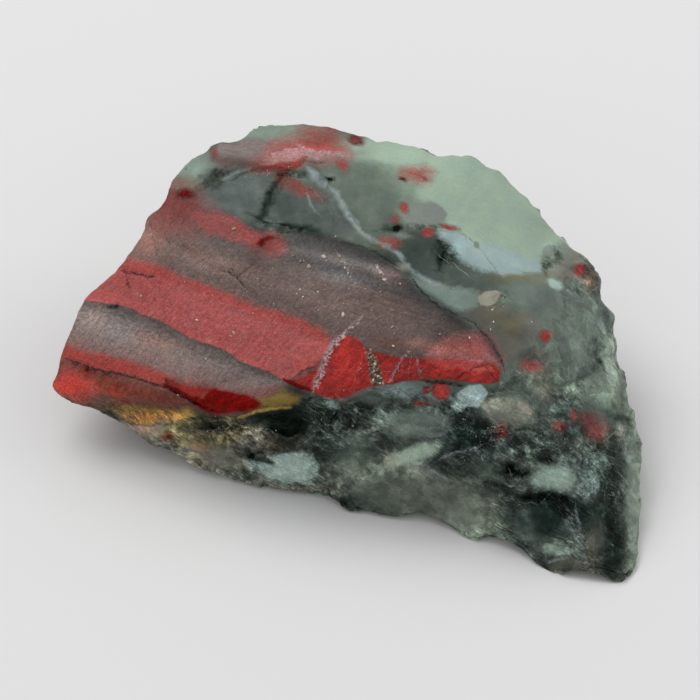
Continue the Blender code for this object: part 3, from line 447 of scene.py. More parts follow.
# Patches: the number of their colour, how soft their edge is in millimetres, and their outline.
RED_PATCHES = [
    # upper band's broken left end
    (0.4, 1.9, [(-19.6, 15.3), (-18, 16.9), (-16.4, 16.5), (-15.2, 15.3), (-14.2, 14.3), (-14.4, 13.1),
        (-16.4, 13.1), (-18.4, 13.1), (-19.6, 14.1)]),
    # upper band
    (0.26, 0.35, [(-16, 14.5), (-14.8, 14.7), (-13.3, 14.5), (-11.6, 13.9), (-10.6, 13.1), (-9.4, 12.3),
        (-8.2, 11.8), (-8.2, 10.9), (-9, 10.7), (-10, 11), (-11.6, 11.5), (-13.6, 12.1), (-15, 12.8),
        (-16, 13.6)]),
    # its right end
    (0.45, 0.9, [(-9, 11.5), (-8, 11.8), (-7.2, 11.5), (-6.7, 11), (-6.7, 10.6), (-7.4, 10.3), (-8.4, 10.5),
        (-9.2, 10.8)]),
    # dark notch in it
    (0.97, 0.2, [(-9.1, 11.1), (-8.7, 11.7), (-8.1, 11.9), (-7.3, 11.7), (-8, 11.4), (-8.6, 10.8)]),
    # main band
    (0.25, 0.08, [(-22.4, 9.1), (-20.8, 8.8), (-19.3, 8.5), (-18.3, 8.2), (-17.2, 7.5), (-15.8, 7.2),
        (-13.8, 6.5), (-11.8, 5.6), (-10.3, 5), (-8.8, 4.4), (-6.8, 3.8), (-4.8, 3.1), (-3.3, 2.4),
        (-2.3, 1.7), (-1.7, 0.9), (-2.4, -0.1), (-3.2, -0.9), (-4.5, -1.4), (-5.8, -2.5), (-6.3, -2.6),
        (-7.6, -1.8), (-9.3, -1.1), (-10.8, -0.6), (-11.6, 0.1), (-12.8, 0.7), (-14.3, 1.2), (-15.8, 1.7),
        (-16.8, 2.3), (-18.3, 3.2), (-19.6, 3.8), (-20.8, 4.1), (-21.6, 4.7), (-23.3, 5.1), (-24.8, 5.3),
        (-26.4, 5.5), (-27.8, 5.5), (-24.8, 7.9)]),
    # its orange upper rim
    (0.4, 0.4, [(-22.6, 9.7), (-20.8, 9.3), (-19.1, 8.9), (-18, 8.5), (-17, 7.8), (-15.6, 7.5), (-13.6, 6.8),
        (-11.6, 5.9), (-10.1, 5.3), (-8.6, 4.7), (-6.6, 4.1), (-4.6, 3.4), (-3.1, 2.7), (-2, 1.9), (-2.3, 1),
        (-4.8, 2.5), (-8.6, 3.9), (-11.8, 5), (-15.8, 6.5), (-18.8, 7.7), (-22.8, 8.3)]),
    # deep red, from the fold to the right end
    (0.72, 0.08, [(-6.2, -2.8), (-4.8, -2.3), (-3.7, -1.9), (-3, -1.2), (-2.4, -0.2), (-1.6, 1), (-0.9, 1.8),
        (0.2, 1.9), (1, 1.6), (1.6, 0.9), (2.4, 0.4), (3.7, 0.1), (5, -0.2), (6.7, -0.3), (8.2, -0.3),
        (10.2, -0.2), (12.2, -0.4), (13.6, -0.5), (14.5, -0.8), (15.1, -1.5), (15.1, -2.7), (14, -2.9),
        (12.2, -2.7), (10.7, -2.5), (9.2, -2.4), (7.7, -2.4), (5.7, -2.6), (4.2, -2.9), (2.4, -3.1),
        (1, -3.5), (0, -4.1), (-1.2, -4.4), (-2.3, -4.2), (-3.4, -3.8), (-4.8, -3.2)]),
    # crimson strip at its foot
    (0.96, 0.12, [(-6.6, -2.2), (-5.6, -2.5), (-4.6, -2.9), (-3.4, -3.5), (-3.2, -4), (-4.8, -3.4),
        (-6.2, -2.8)]),
    # its paler top
    (0.5, 0.3, [(7.6, -0.5), (9.2, -0.3), (11.2, -0.3), (13.2, -0.5), (14.4, -1), (14.9, -1.8), (13.2, -1.9),
        (10.7, -1.5), (8.7, -1.2)]),
    # orange haze above the right end
    (0.17, 1, [(8, -0.2), (9.2, 0.6), (10.7, 1.4), (12.2, 1.8), (13.4, 1.8), (14, 1.3), (14.5, 0.5),
        (14.9, -0.7), (13.2, -0.6), (10.2, -0.3)]),
    # lower band, left part
    (0.5, 0.35, [(-29.1, 1), (-27.3, 0.7), (-25.8, 0.2), (-23.8, -0.2), (-21.8, -0.6), (-20.3, -1.1),
        (-18.3, -1.9), (-16.8, -2.7), (-16.3, -3.9), (-18, -3.4), (-19.3, -3), (-20.8, -2.4), (-22, -2),
        (-23.3, -1.8), (-24.8, -1.5), (-26.2, -1.2), (-27.3, -0.7), (-29.1, -0.1)]),
    # lower band, right part
    (0.98, 0.18, [(-18.2, -2.3), (-16.3, -2.9), (-14.8, -3.3), (-12.3, -3.5), (-10.8, -3.9), (-9.3, -4.3),
        (-8.6, -4.8), (-9, -5.3), (-10.8, -5.7), (-13.1, -6), (-14.3, -5.6), (-15.4, -5), (-16.8, -4.1),
        (-18.5, -3.2)]),
    # its brighter join
    (0.75, 0.5, [(-18, -2.5), (-16.4, -2.9), (-14.3, -3.3), (-13.8, -3.7), (-14.4, -4.4), (-15.6, -4.2),
        (-17, -3.5), (-18.2, -3)]),
    # brown ripples under the crack
    (0.86, 0.9, [(-26, -2.1), (-24.8, -1.8), (-21.8, -2.6), (-18.3, -3.8), (-15.8, -4.8), (-16.8, -5),
        (-19.8, -4.9), (-23.3, -4.7), (-25, -3.7)]),
    # tip
    (0.42, 0.9, [(-29.8, -1.7), (-28.4, -1.1), (-26.4, -1.9), (-25.6, -2.5), (-25.1, -3.3), (-25.6, -4.3),
        (-26.8, -4.5), (-28, -4.4), (-29.3, -4), (-30.2, -3.3)]),
    # glow round the arrow
    (0.36, 1, [(-9.8, 18.9), (-8.6, 19.7), (-7.3, 21), (-5.8, 21.7), (-3.8, 21.9), (-1.8, 21.7),
        (-0.3, 20.9), (0.1, 19.9), (-1.3, 19.6), (-3, 19.6), (-4.4, 19.7), (-5.8, 19), (-8, 18.7)]),
    # arrow under the peak
    (0.13, 1, [(-8.6, 19.2), (-7, 20.2), (-5.6, 20.8), (-4.3, 20.9), (-3, 20.6), (-1.3, 20.5), (-0.1, 20.1),
        (-1.3, 19.7), (-2.8, 19.5), (-4, 19.7), (-5, 19.3), (-6.3, 19), (-8, 18.9)]),
    # its red foot
    (0.6, 0.2, [(-10.2, 18.7), (-8.6, 18.9), (-7.3, 19), (-5.8, 19.3), (-4.2, 19.8), (-4.5, 19.2),
        (-5.2, 18.7), (-6.8, 18.5), (-8.6, 18.6)]),
    # dull patch above it
    (0.62, 1.2, [(-4.7, 22.4), (-4, 22.8), (-2.8, 22.7), (-1.8, 22.1), (-1.2, 21.4), (-2.3, 21.1),
        (-4, 21.3), (-4.6, 21.7)]),
    # broken red patch on the dome
    (0.32, 0.7, [(5.4, 18.4), (6.4, 18.6), (7.6, 18.7), (8.4, 18.4), (7.7, 18.1), (8.2, 17.7), (7.6, 17.3),
        (6.8, 17.5), (6, 17.8), (5.4, 18.1)]),
    # loose red piece
    (0.55, 0.12, [(8.5, -2.9), (9.2, -2.8), (10, -2.9), (10.2, -3.5), (9.9, -4.3), (9.2, -4.5), (8.6, -4.2),
        (8.3, -3.5)]),
    # broken patch by the right rim
    (0.45, 0.8, [(23.1, -6.2), (24.2, -5.9), (25.2, -6.5), (25.6, -7.5), (25, -8.2), (24, -7.6)]),
]
# Oval spots: the number of their colour, their softness, (u, v), half-length, half-width and tilt.
RED_SPOTS = [
    (0.86, 0.2, 0.8, 21.6, 0.75, 0.52, -15), (0.42, 0.3, -0.7, 19.1, 0.7, 0.35, -45),
    (0.5, 0.25, -13.5, 20.2, 0.3, 0.5, 0), (0.95, 0.3, -16.2, 16.2, 0.9, 0.5, -8),
    (0.45, 0.6, -4.9, 16.7, 1.3, 0.36, -24), (0.6, 0.35, -1.8, 22.6, 0.6, 0.35, -20),
    (0.4, 0.4, 4.7, 13.6, 0.32, 0.34, 0), (0.5, 0.2, 5.6, 14.7, 0.32, 0.5, 20),
    (0.35, 0.5, 4, 11.2, 0.7, 0.3, 0), (0.52, 0.18, 8, 12.3, 0.55, 0.45, 0),
    (0.62, 0.14, 10, 12.8, 0.85, 0.2, -14), (0.62, 0.2, 7.6, 18.4, 0.45, 0.12, 0),
    (0.62, 0.25, 7.6, 17.5, 0.45, 0.2, -20), (0.55, 0.2, 23.2, 8.5, 0.55, 0.55, 0),
    (0.6, 0.25, 19.7, 1.9, 0.55, 0.55, 0), (0.42, 0.35, 18.3, -1.1, 0.9, 0.4, -8),
    (0.95, 0.4, 15.2, -7.5, 0.45, 0.6, 0), (0.45, 0.35, 21.2, -7.1, 0.6, 0.45, 0),
    (0.45, 0.3, 22.6, -6.1, 0.4, 0.5, 0), (0.68, 0.16, 7.8, -3.5, 0.4, 0.4, 0),
    (0.95, 0.2, 7.3, -4.8, 0.7, 0.23, -5), (0.78, 0.2, -18, -8.1, 0.45, 0.32, 0),
    (0.95, 0.12, -12.9, 1.5, 0.13, 0.13, 0), (0.75, 0.25, -18.4, -8.4, 0.2, 0.16, 0),
]
PALE_PATCHES = [
    # green dome
    (0.2, 0.3, [(0.2, 20.5), (0.8, 21.2), (2.4, 21.7), (7.7, 21.3), (12.2, 20.1), (15.7, 18.1), (19.7, 14.1),
        (22, 11.5), (21, 11.1), (20.5, 9.7), (20, 10.3), (19.5, 9.9), (19.3, 8.3), (17.2, 8), (15.2, 8.2),
        (13.2, 9.3), (11.7, 11.5), (10.9, 12.7), (9.8, 13.2), (9.9, 14.3), (9.2, 14.9), (8.3, 15.3),
        (7.2, 15.5), (6.8, 16.3), (6.9, 16.9), (6.1, 17.5), (7.2, 17.4), (8.4, 17.5), (8, 18.3), (6.2, 18.7),
        (4.8, 19), (3.7, 19.4), (2.2, 19.7), (0.9, 19.8)]),
    # blue-white field on the dome
    (0, 0.35, [(8.9, 12.8), (10.2, 12.5), (11.4, 12.1), (12.7, 11.2), (15.7, 10.9), (19.3, 9.3), (19.3, 8.2),
        (16, 7.9), (13.2, 8.4), (11.5, 9.3), (10.5, 10.3), (10.2, 11.1), (9.3, 11.7)]),
    # dull grey oval
    (0.5, 0.13, [(5.5, 14.2), (6.1, 14.9), (7.2, 15.2), (8.5, 15.2), (9.5, 14.7), (9.9, 14), (9.6, 13.4),
        (8.2, 13.1), (6.7, 13.3), (5.8, 13.6)]),
    # teal lens
    (0.42, 0.3, [(6.2, 7.8), (7.7, 7.2), (9.2, 7), (11.2, 6.7), (13, 6.3), (13.3, 5.3), (12.4, 4.7),
        (11.2, 4.4), (10, 4.8), (8.7, 5.5), (7.2, 6.6)]),
    # blue-white block under the ledge
    (0, 0.08, [(10.7, -3.9), (12.1, -3), (13.2, -2.9), (14, -3.8), (13, -5.3), (11.4, -5)]),
    # fawn block right of it
    (0.79, 0.25, [(13.2, -4.8), (14.9, -4.1), (16.7, -4.4), (17.9, -5), (18.5, -5.8), (18, -6.6),
        (16.2, -7.4), (14.8, -7), (13.6, -5.7)]),
    # mint block in the lower right
    (0.36, 0.35, [(18, -12.6), (19, -11.7), (20, -11.1), (21.2, -10.8), (22, -11.1), (22.5, -11.9),
        (22.8, -12.9), (22.9, -13.7), (21.8, -13.9), (20.7, -13.5), (19.7, -13.3), (18.7, -13.4)]),
    # mint streak on the front wall
    (0.25, 0.25, [(3.4, -11.1), (3.8, -10.3), (4.7, -9.8), (5.7, -9.4), (6.6, -9.1), (7.7, -8.8), (9, -8.4),
        (9.4, -9), (8.9, -9.7), (7.7, -10.2), (6.5, -10.6), (5.2, -11.1), (4.2, -11.6), (3.5, -11.6)]),
    # mint patch at the foot of the wall
    (0.08, 0.2, [(-10.2, -10.5), (-9.2, -10.6), (-8.2, -10.9), (-7.6, -11.1), (-7.3, -10.8), (-8, -10.3),
        (-7.1, -10), (-5.8, -9.8), (-4.5, -9.7), (-3.7, -10), (-3.4, -10.6), (-2.9, -11.1), (-2.9, -12.3),
        (-3.4, -13), (-4.8, -13.2), (-6.2, -13.1), (-7.2, -12.6), (-8, -12.2), (-9, -11.6), (-9.7, -11.2)]),
    # cream skin at the far left
    (0.68, 0.6, [(-22.6, -6.4), (-19.8, -6.6), (-18.2, -6.5), (-18.8, -7.3), (-19.8, -7.9), (-20.8, -8.2),
        (-22, -7.3)]),
    # ochre fringe of the ledge
    (1, 0.12, [(-11.2, -6.3), (-10, -5.8), (-9, -5.4), (-7.8, -5.2), (-5.8, -5.2), (-5.6, -5.3),
        (-7.8, -5.5), (-9, -5.7), (-10.1, -6.1)]),
    # ochre streak
    (1, 0.4, [(-23.4, -5.6), (-22.4, -5.3), (-21, -5.2), (-19.8, -5.4), (-18.8, -5.6), (-17.6, -5.6),
        (-16.2, -5.5), (-15.4, -5.9), (-16.4, -6.5), (-18, -6.7), (-19.8, -7), (-21.6, -6.9),
        (-22.8, -6.3)]),
    # ochre lens
    (0.91, 0.3, [(-9.2, -4.5), (-8.2, -4.1), (-6.8, -3.6), (-5.8, -3.6), (-4.8, -4.1), (-5, -4.7),
        (-5.8, -5.1), (-7.3, -5.3), (-8.6, -5.1)]),
    # cream chip by the teal lens
    (0.67, 0.1, [(12.9, 5.8), (13.6, 6.3), (14.8, 6.5), (15.4, 6.1), (14.9, 5.6), (14.6, 5.1), (13.9, 4.9),
        (13.2, 5)]),
]
PALE_SPOTS = [
    (0.06, 0.14, 20.7, 7.1, 0.9, 0.5, -28), (0.6, 0.2, 5.5, 8.9, 0.55, 0.28, -10),
    (0.05, 0.2, 10.9, -5.1, 0.55, 0.5, 0), (0.45, 0.3, 5.2, 11.9, 0.7, 0.26, -5),
    (0.62, 0.3, 17.9, -5.6, 0.6, 0.35, -35), (0.8, 0.5, 19.7, -3.8, 0.4, 0.6, 0),
    (0.82, 0.6, 18.9, -1.8, 0.9, 0.35, 0), (0.72, 0.4, 25.6, -7.3, 0.15, 0.7, 10),
    (0.66, 0.5, -4.8, -13.3, 2, 0.35, -3), (0.82, 0.6, 19.7, -3.4, 0.8, 0.5, 0),
    (0, 0.15, 28.1, -10.4, 0.18, 0.3, 0), (0, 0.6, 5.4, -3.4, 1.6, 0.5, -3),
    (0.22, 1, 1.9, 20.1, 0.7, 0.3, 0), (0.72, 0.5, -19.2, -8.4, 0.9, 0.4, -15),
    (0.05, 0.2, -1.6, -4.9, 0.7, 0.35, -30), (0.68, 0.4, 17.6, -5.4, 0.8, 0.4, -38),
    (0.86, 0.6, 17.4, 7.8, 1.7, 0.3, 0), (0.5, 0.3, 20.1, 10.5, 0.6, 0.5, 30),
    (0.5, 0.4, 12.9, 10.8, 0.3, 0.4, 20), (0.62, 0.4, 27.3, -7.7, 0.4, 0.6, 10),
    (0.2, 0.3, 7.6, -9.2, 1.2, 0.5, 12),
]
DARK_PATCHES = [
    # painted shade in the notch between the two grey facets
    (0.5, [(-8.9, 13.7), (-8.6, 14.8), (-8.2, 15.8), (-7.8, 16.6), (-7.3, 17.3), (-6.9, 17.1), (-7.3, 16.4),
        (-7.7, 15.4), (-8.1, 14.4), (-8.4, 13.7)]),
    # painted shade in the hollow under the ledge, left
    (0.7, [(-8.4, -5.9), (-6.3, -5.5), (-4.5, -5.4), (-3.9, -6.5), (-4.5, -7.5), (-6.7, -7.6), (-8, -6.9)]),
    # black hook left of the mint patch
    (0.25, [(-10.8, -10), (-9.6, -9.7), (-8.6, -9.8), (-9.2, -10.2), (-7.8, -10.7), (-7.2, -10.9),
        (-8, -11.2), (-9.4, -10.6)]),
    # pit above the mint block
    (0.35, [(15.1, -10.8), (16, -10.7), (17, -11.1), (18.1, -11.6), (18.1, -12.2), (16.6, -12.3),
        (15.5, -12)]),
    # painted shadow: a black band under the mint block, along its ledge
    (0.4, [(16.5, -14.4), (17.7, -13.9), (18.7, -13.4), (20, -13.6), (21, -14.2), (22, -13.9), (22.9, -14.2),
        (23.8, -14.6), (22.6, -14.9), (21.4, -14.9), (20.2, -15), (19.2, -14.7), (17.8, -14.6)]),
    # dark spot under the dome
    (0.7, [(8.8, 11.2), (9.4, 11.5), (10.2, 11), (10, 10.2), (10.6, 9.4), (9.8, 9.2), (9.3, 8.7), (8.8, 9.3),
        (9, 10.1)]),
]
DARK_SPOTS = [
    (0.3, -6.5, 18.1, 0.8, 0.28, 15), (0.3, 4.7, 12.7, 1.1, 0.32, 8),
    (0.6, 20.8, 10.5, 0.25, 1.2, 14), (0.8, 19.9, 9.3, 0.4, 0.6, -20),
    (0.7, 26.4, -10.6, 0.35, 1.4, 10), (0.9, 25, -0.5, 0.4, 1.1, 15),
    (0.3, 27.3, -6.3, 0.9, 0.18, -8), (0.2, 5.5, 17.6, 0.24, 0.14, 0),
    (0.2, 14.5, 15.6, 0.18, 0.13, 0), (0.2, 11.3, 9.7, 0.16, 0.16, 0),
    # the second spot on the line below is painted shade at the foot of the green corner, under the mauve fold
    (0.2, -16.2, 2.4, 0.3, 0.16, 0), (0.8, -13.1, 17.7, 0.9, 0.4, 20),
    (0.2, -1.9, 17.5, 0.4, 0.22, 0), (0.2, -2.5, 17.1, 0.4, 0.14, 0),
    (0.25, -23.6, 4.9, 0.45, 0.24, 0), (0.3, -18.2, -5.5, 1, 0.18, 0),
    (0.3, -26.2, -1.7, 0.4, 0.3, 0), (0.3, 15.4, -13.1, 0.6, 0.25, -30),
    (0.3, 16, -11.2, 0.9, 0.5, -10), (0.3, 3.7, -3.2, 0.5, 0.25, 10),
    (0.6, -3.4, -2.1, 0.8, 0.3, -50), (0.8, 26.4, -16, 0.3, 1.4, 8),
    (0.5, -13.4, -7.1, 1.7, 0.3, 0), (0.3, -16.2, 16.1, 0.5, 0.12, -20),
    (0.3, -8.1, 11.5, 0.7, 0.14, 25), (0.25, 20, -10.4, 0.5, 0.25, 0),
    (0.25, 29.2, -14.5, 0.1, 0.1, 0),
]
# Lines: their half-width, and the places that they run through.
CRACKS = [
    # crack along the lower band
    (0.13, [(-28.8, -0.2), (-27.3, -0.7), (-26.2, -1.2), (-24.8, -1.5), (-23.3, -1.8), (-22, -2),
        (-20.8, -2.4), (-19.3, -3), (-17.9, -3.4), (-16.8, -4.1), (-15.4, -4.7), (-14.5, -5.1),
        (-13.4, -5.6)]),
    # crack in the main band's left end
    (0.12, [(-22.9, 8.6), (-22.3, 8.3), (-21.1, 8.2), (-20.1, 7.8), (-19.2, 7.9)]),
    (0.05, [(-22.3, 8.5), (-22.2, 7.3), (-21.8, 6.6)]),  # its loop
    (0.09, [(-12.6, 8.6), (-11.8, 8.2), (-11.2, 7.8), (-10.7, 7.2), (-10.1, 6.7)]),  # star crack
    (0.06, [(-11.7, 8.9), (-11.2, 7.9), (-10.2, 8.5)]),  # its upper arm
    (0.07, [(10.7, -2.4), (11.5, -1.9), (12.4, -1.4), (13.9, -1)]),  # line across the right end
    (0.05, [(13.2, -0.9), (14.1, -1.7), (14.9, -2.6)]),  # second line across it
    (0, [(11.5, 12.1), (12.7, 11.2), (14, 9.6), (15.3, 7.9)]),  # line on the dome
    (0.2, [(7.2, -2.5), (8.2, -2.6), (9.3, -2.7), (10.4, -2.9), (11.8, -3.1)]),  # gap under the ledge
    (0.07, [(5.5, -0.3), (5, -1.3), (4.4, -2.5)]),  # dark side of the faint vein
    (0, [(-19.8, 13.1), (-19.4, 11.5), (-19, 9.5)]),  # furrows at the left edge
    (0, [(-19.1, 13.5), (-18.2, 11.9), (-17.6, 10.3)]),  # second furrow
    (0, [(-18.3, 13.3), (-17.2, 12.3), (-16.4, 10.9)]),  # third furrow
    (0.06, [(-27.4, -1.2), (-26, -1.6), (-24.4, -2.1), (-23, -2.4)]),  # second crack below the first
    (0.05, [(7.9, -3.9), (8.4, -3.6), (8.7, -3.1)]),  # cut across the loose red piece
    # crack under the grey facets
    (0.05, [(-10.2, 14.2), (-9.3, 13.8), (-8.6, 13.5), (-7.3, 13.1), (-5.7, 12.9)]),
    (0.05, [(-6.4, 12.2), (-5, 12.4), (-3.6, 13)]),  # second crack under them
    # crease in the dark mauve layer
    (0.05, [(-0.8, 11.2), (1.2, 10.8), (2.4, 10.4), (3.4, 9.7), (4.7, 9.1), (5.4, 8.7)]),
    (0.12, [(6, 8), (7, 6.7), (8.2, 5.6), (9.5, 4.6), (11.2, 3.8)]),  # crevice beside the banded face
    (0.1, [(11.2, 3.8), (12.4, 3.3), (13.4, 2.3), (14.4, 1.1), (15.2, -0.3), (15.6, -1.7)]),  # its lower end
]
VEINS = [
    (-0.04, [(-0.9, 10), (-0.5, 9.2), (0.1, 8.1)]),  # pale thread in the light layer
    (-0.04, [(2.8, 8.9), (3.2, 8.3), (3.7, 7.4)]),  # second one
    (0.06, [(-8.4, 19.5), (-7.6, 19.9), (-6.3, 20.4), (-5.1, 20.6)]),  # white ridge of the arrow
    (0.08, [(-5.3, 21.2), (-4.3, 20.5), (-3.2, 19.5)]),  # second one
    (0.06, [(-3.6, 20.4), (-2, 20.2), (-0.2, 19.9)]),  # third one
    (0.12, [(1.4, 3.9), (0.6, 3.1), (-0.2, 2.5), (-0.8, 1.9)]),  # main vein's upper end
    # main vein
    (0.3, [(-0.2, 2.5), (-0.9, 1.8), (-1.5, 1.1), (-2.1, 0), (-2.6, -1.2), (-3, -2.3), (-3.6, -3.7)]),
    (0.1, [(6, 0.5), (5.5, -0.2), (5.1, -0.9), (4.6, -1.8), (4.1, -2.7)]),  # faint vein
    (0.07, [(6.8, -0.5), (7.2, -1.5), (7.6, -2.7)]),  # thread
]
# Painted highlights along ridges and edges, where light catches them: their half-width and the places that
# they run through.
EDGE_HIGHLIGHTS = [
    (0.34, [(-4.1, 18.7), (-3.5, 18.1), (-2.8, 17.3), (-2, 16.9)]),  # short blue ridge
    # long blue ridge
    (0.26, [(-1.8, 16.8), (-1.1, 16), (-0.6, 15), (-0.1, 14), (0.5, 13.3), (1.2, 12.4), (2.2, 11.5),
        (3.2, 11.2)]),
    (0.2, [(3.2, 11.2), (4.2, 10.7), (5.2, 10), (5.7, 9.2)]),  # its lower end
    (0.2, [(5.5, 9.3), (6.5, 8.4), (7.7, 7.5), (9.2, 6.9)]),  # lip right of the crevice
    (0.07, [(-4.1, 16.3), (-3.8, 15), (-3, 14.2)]),  # thread on the second facet
    (0.12, [(-12.7, 17.5), (-11.8, 18), (-10.6, 18.4), (-9.8, 18.7)]),  # edge of the first facet
    (0.08, [(9.2, -10.3), (10.4, -9.8), (11.8, -9.5), (13, -9.1)]),  # edge by the teal hollow
    (0.1, [(6.8, -11), (8.2, -11.4), (9.9, -12.4)]),  # flake on the low grey face
    (0.02, [(22.7, -15.3), (23, -16.9), (23.4, -18.5)]),  # ridge beside it
    (0.13, [(21.7, -16.5), (22.6, -17.9), (23.3, -19.5), (23.7, -20.7)]),  # corner ridge, lower
    (0.07, [(20, -20.7), (21.4, -20.1), (23, -20)]),  # edge of the low facet
]
SCRATCHES = [
    (0, [(6.7, -10.8), (8.2, -11.3), (9.9, -12.5)]),
    (0, [(7, -11), (7.7, -11.9), (8.4, -12.3)]),
    (0.02, [(9.2, -10.3), (10.4, -9.8), (11.8, -9.5), (13.2, -9.1)]),
    (0, [(10.4, -10.7), (11.8, -10.1), (13.4, -9.5)]),
    (0, [(-4.8, -9.1), (-3.6, -8.2), (-3, -7.5)]),
    (0.01, [(-1.8, -7.4), (-0.3, -8.3), (0.4, -9.2)]),
    (0, [(0.2, -5.3), (2.4, -6.2), (4, -7.3)]),
    (0, [(-1, -4.1), (0.4, -4.9), (1.8, -5.5)]),
    (0, [(20.8, 0.5), (21.4, -1.1), (21.8, -2.5)]),
    (0, [(22.2, 1.7), (23.4, 0.5), (24.2, -0.9)]),
    (-0.02, [(21.2, -3.7), (22.4, -4.9), (24.2, -5.5)]),
    (0, [(4.4, -4.3), (5.6, -3.9), (7, -3.8)]),
    (0, [(3.2, -3.7), (4.6, -3.4), (6, -3)]),
    (0, [(-13.4, -10.7), (-12.4, -11.2), (-11.6, -12.1)]),
    (0.01, [(-12.6, -10.9), (-11.4, -11.1), (-10.4, -12.1)]),
    (0, [(-14.3, -6.8), (-12.6, -6.5), (-10.8, -6.9)]),
    (0, [(-15.8, -7.3), (-14.2, -7.7), (-13.2, -7.3)]),
    (0, [(11.2, -4.7), (12, -5.5), (11.8, -6.3)]),
    (0, [(21.8, -15.7), (22.8, -17.5), (23, -19.3)]),
    (0, [(15.2, -14.5), (16.7, -15), (18.2, -14.7)]),
    (0, [(25.2, -11.5), (25.8, -12.9), (25.6, -14.3)]),
    (0, [(27.2, -7.5), (27.8, -9.1), (28.2, -10.7)]),
    (0, [(15.2, -3.1), (16.2, -3.6), (17.2, -3.8)]),
    (0, [(17.6, -4), (18.5, -4.8), (18.7, -5.8)]),
]
WEDGE_VEIN = [(1.7, 0.9), (2.3, 0.5), (3, -0.9), (3.7, -2.9), (2.4, -3.1), (2, -0.7)]
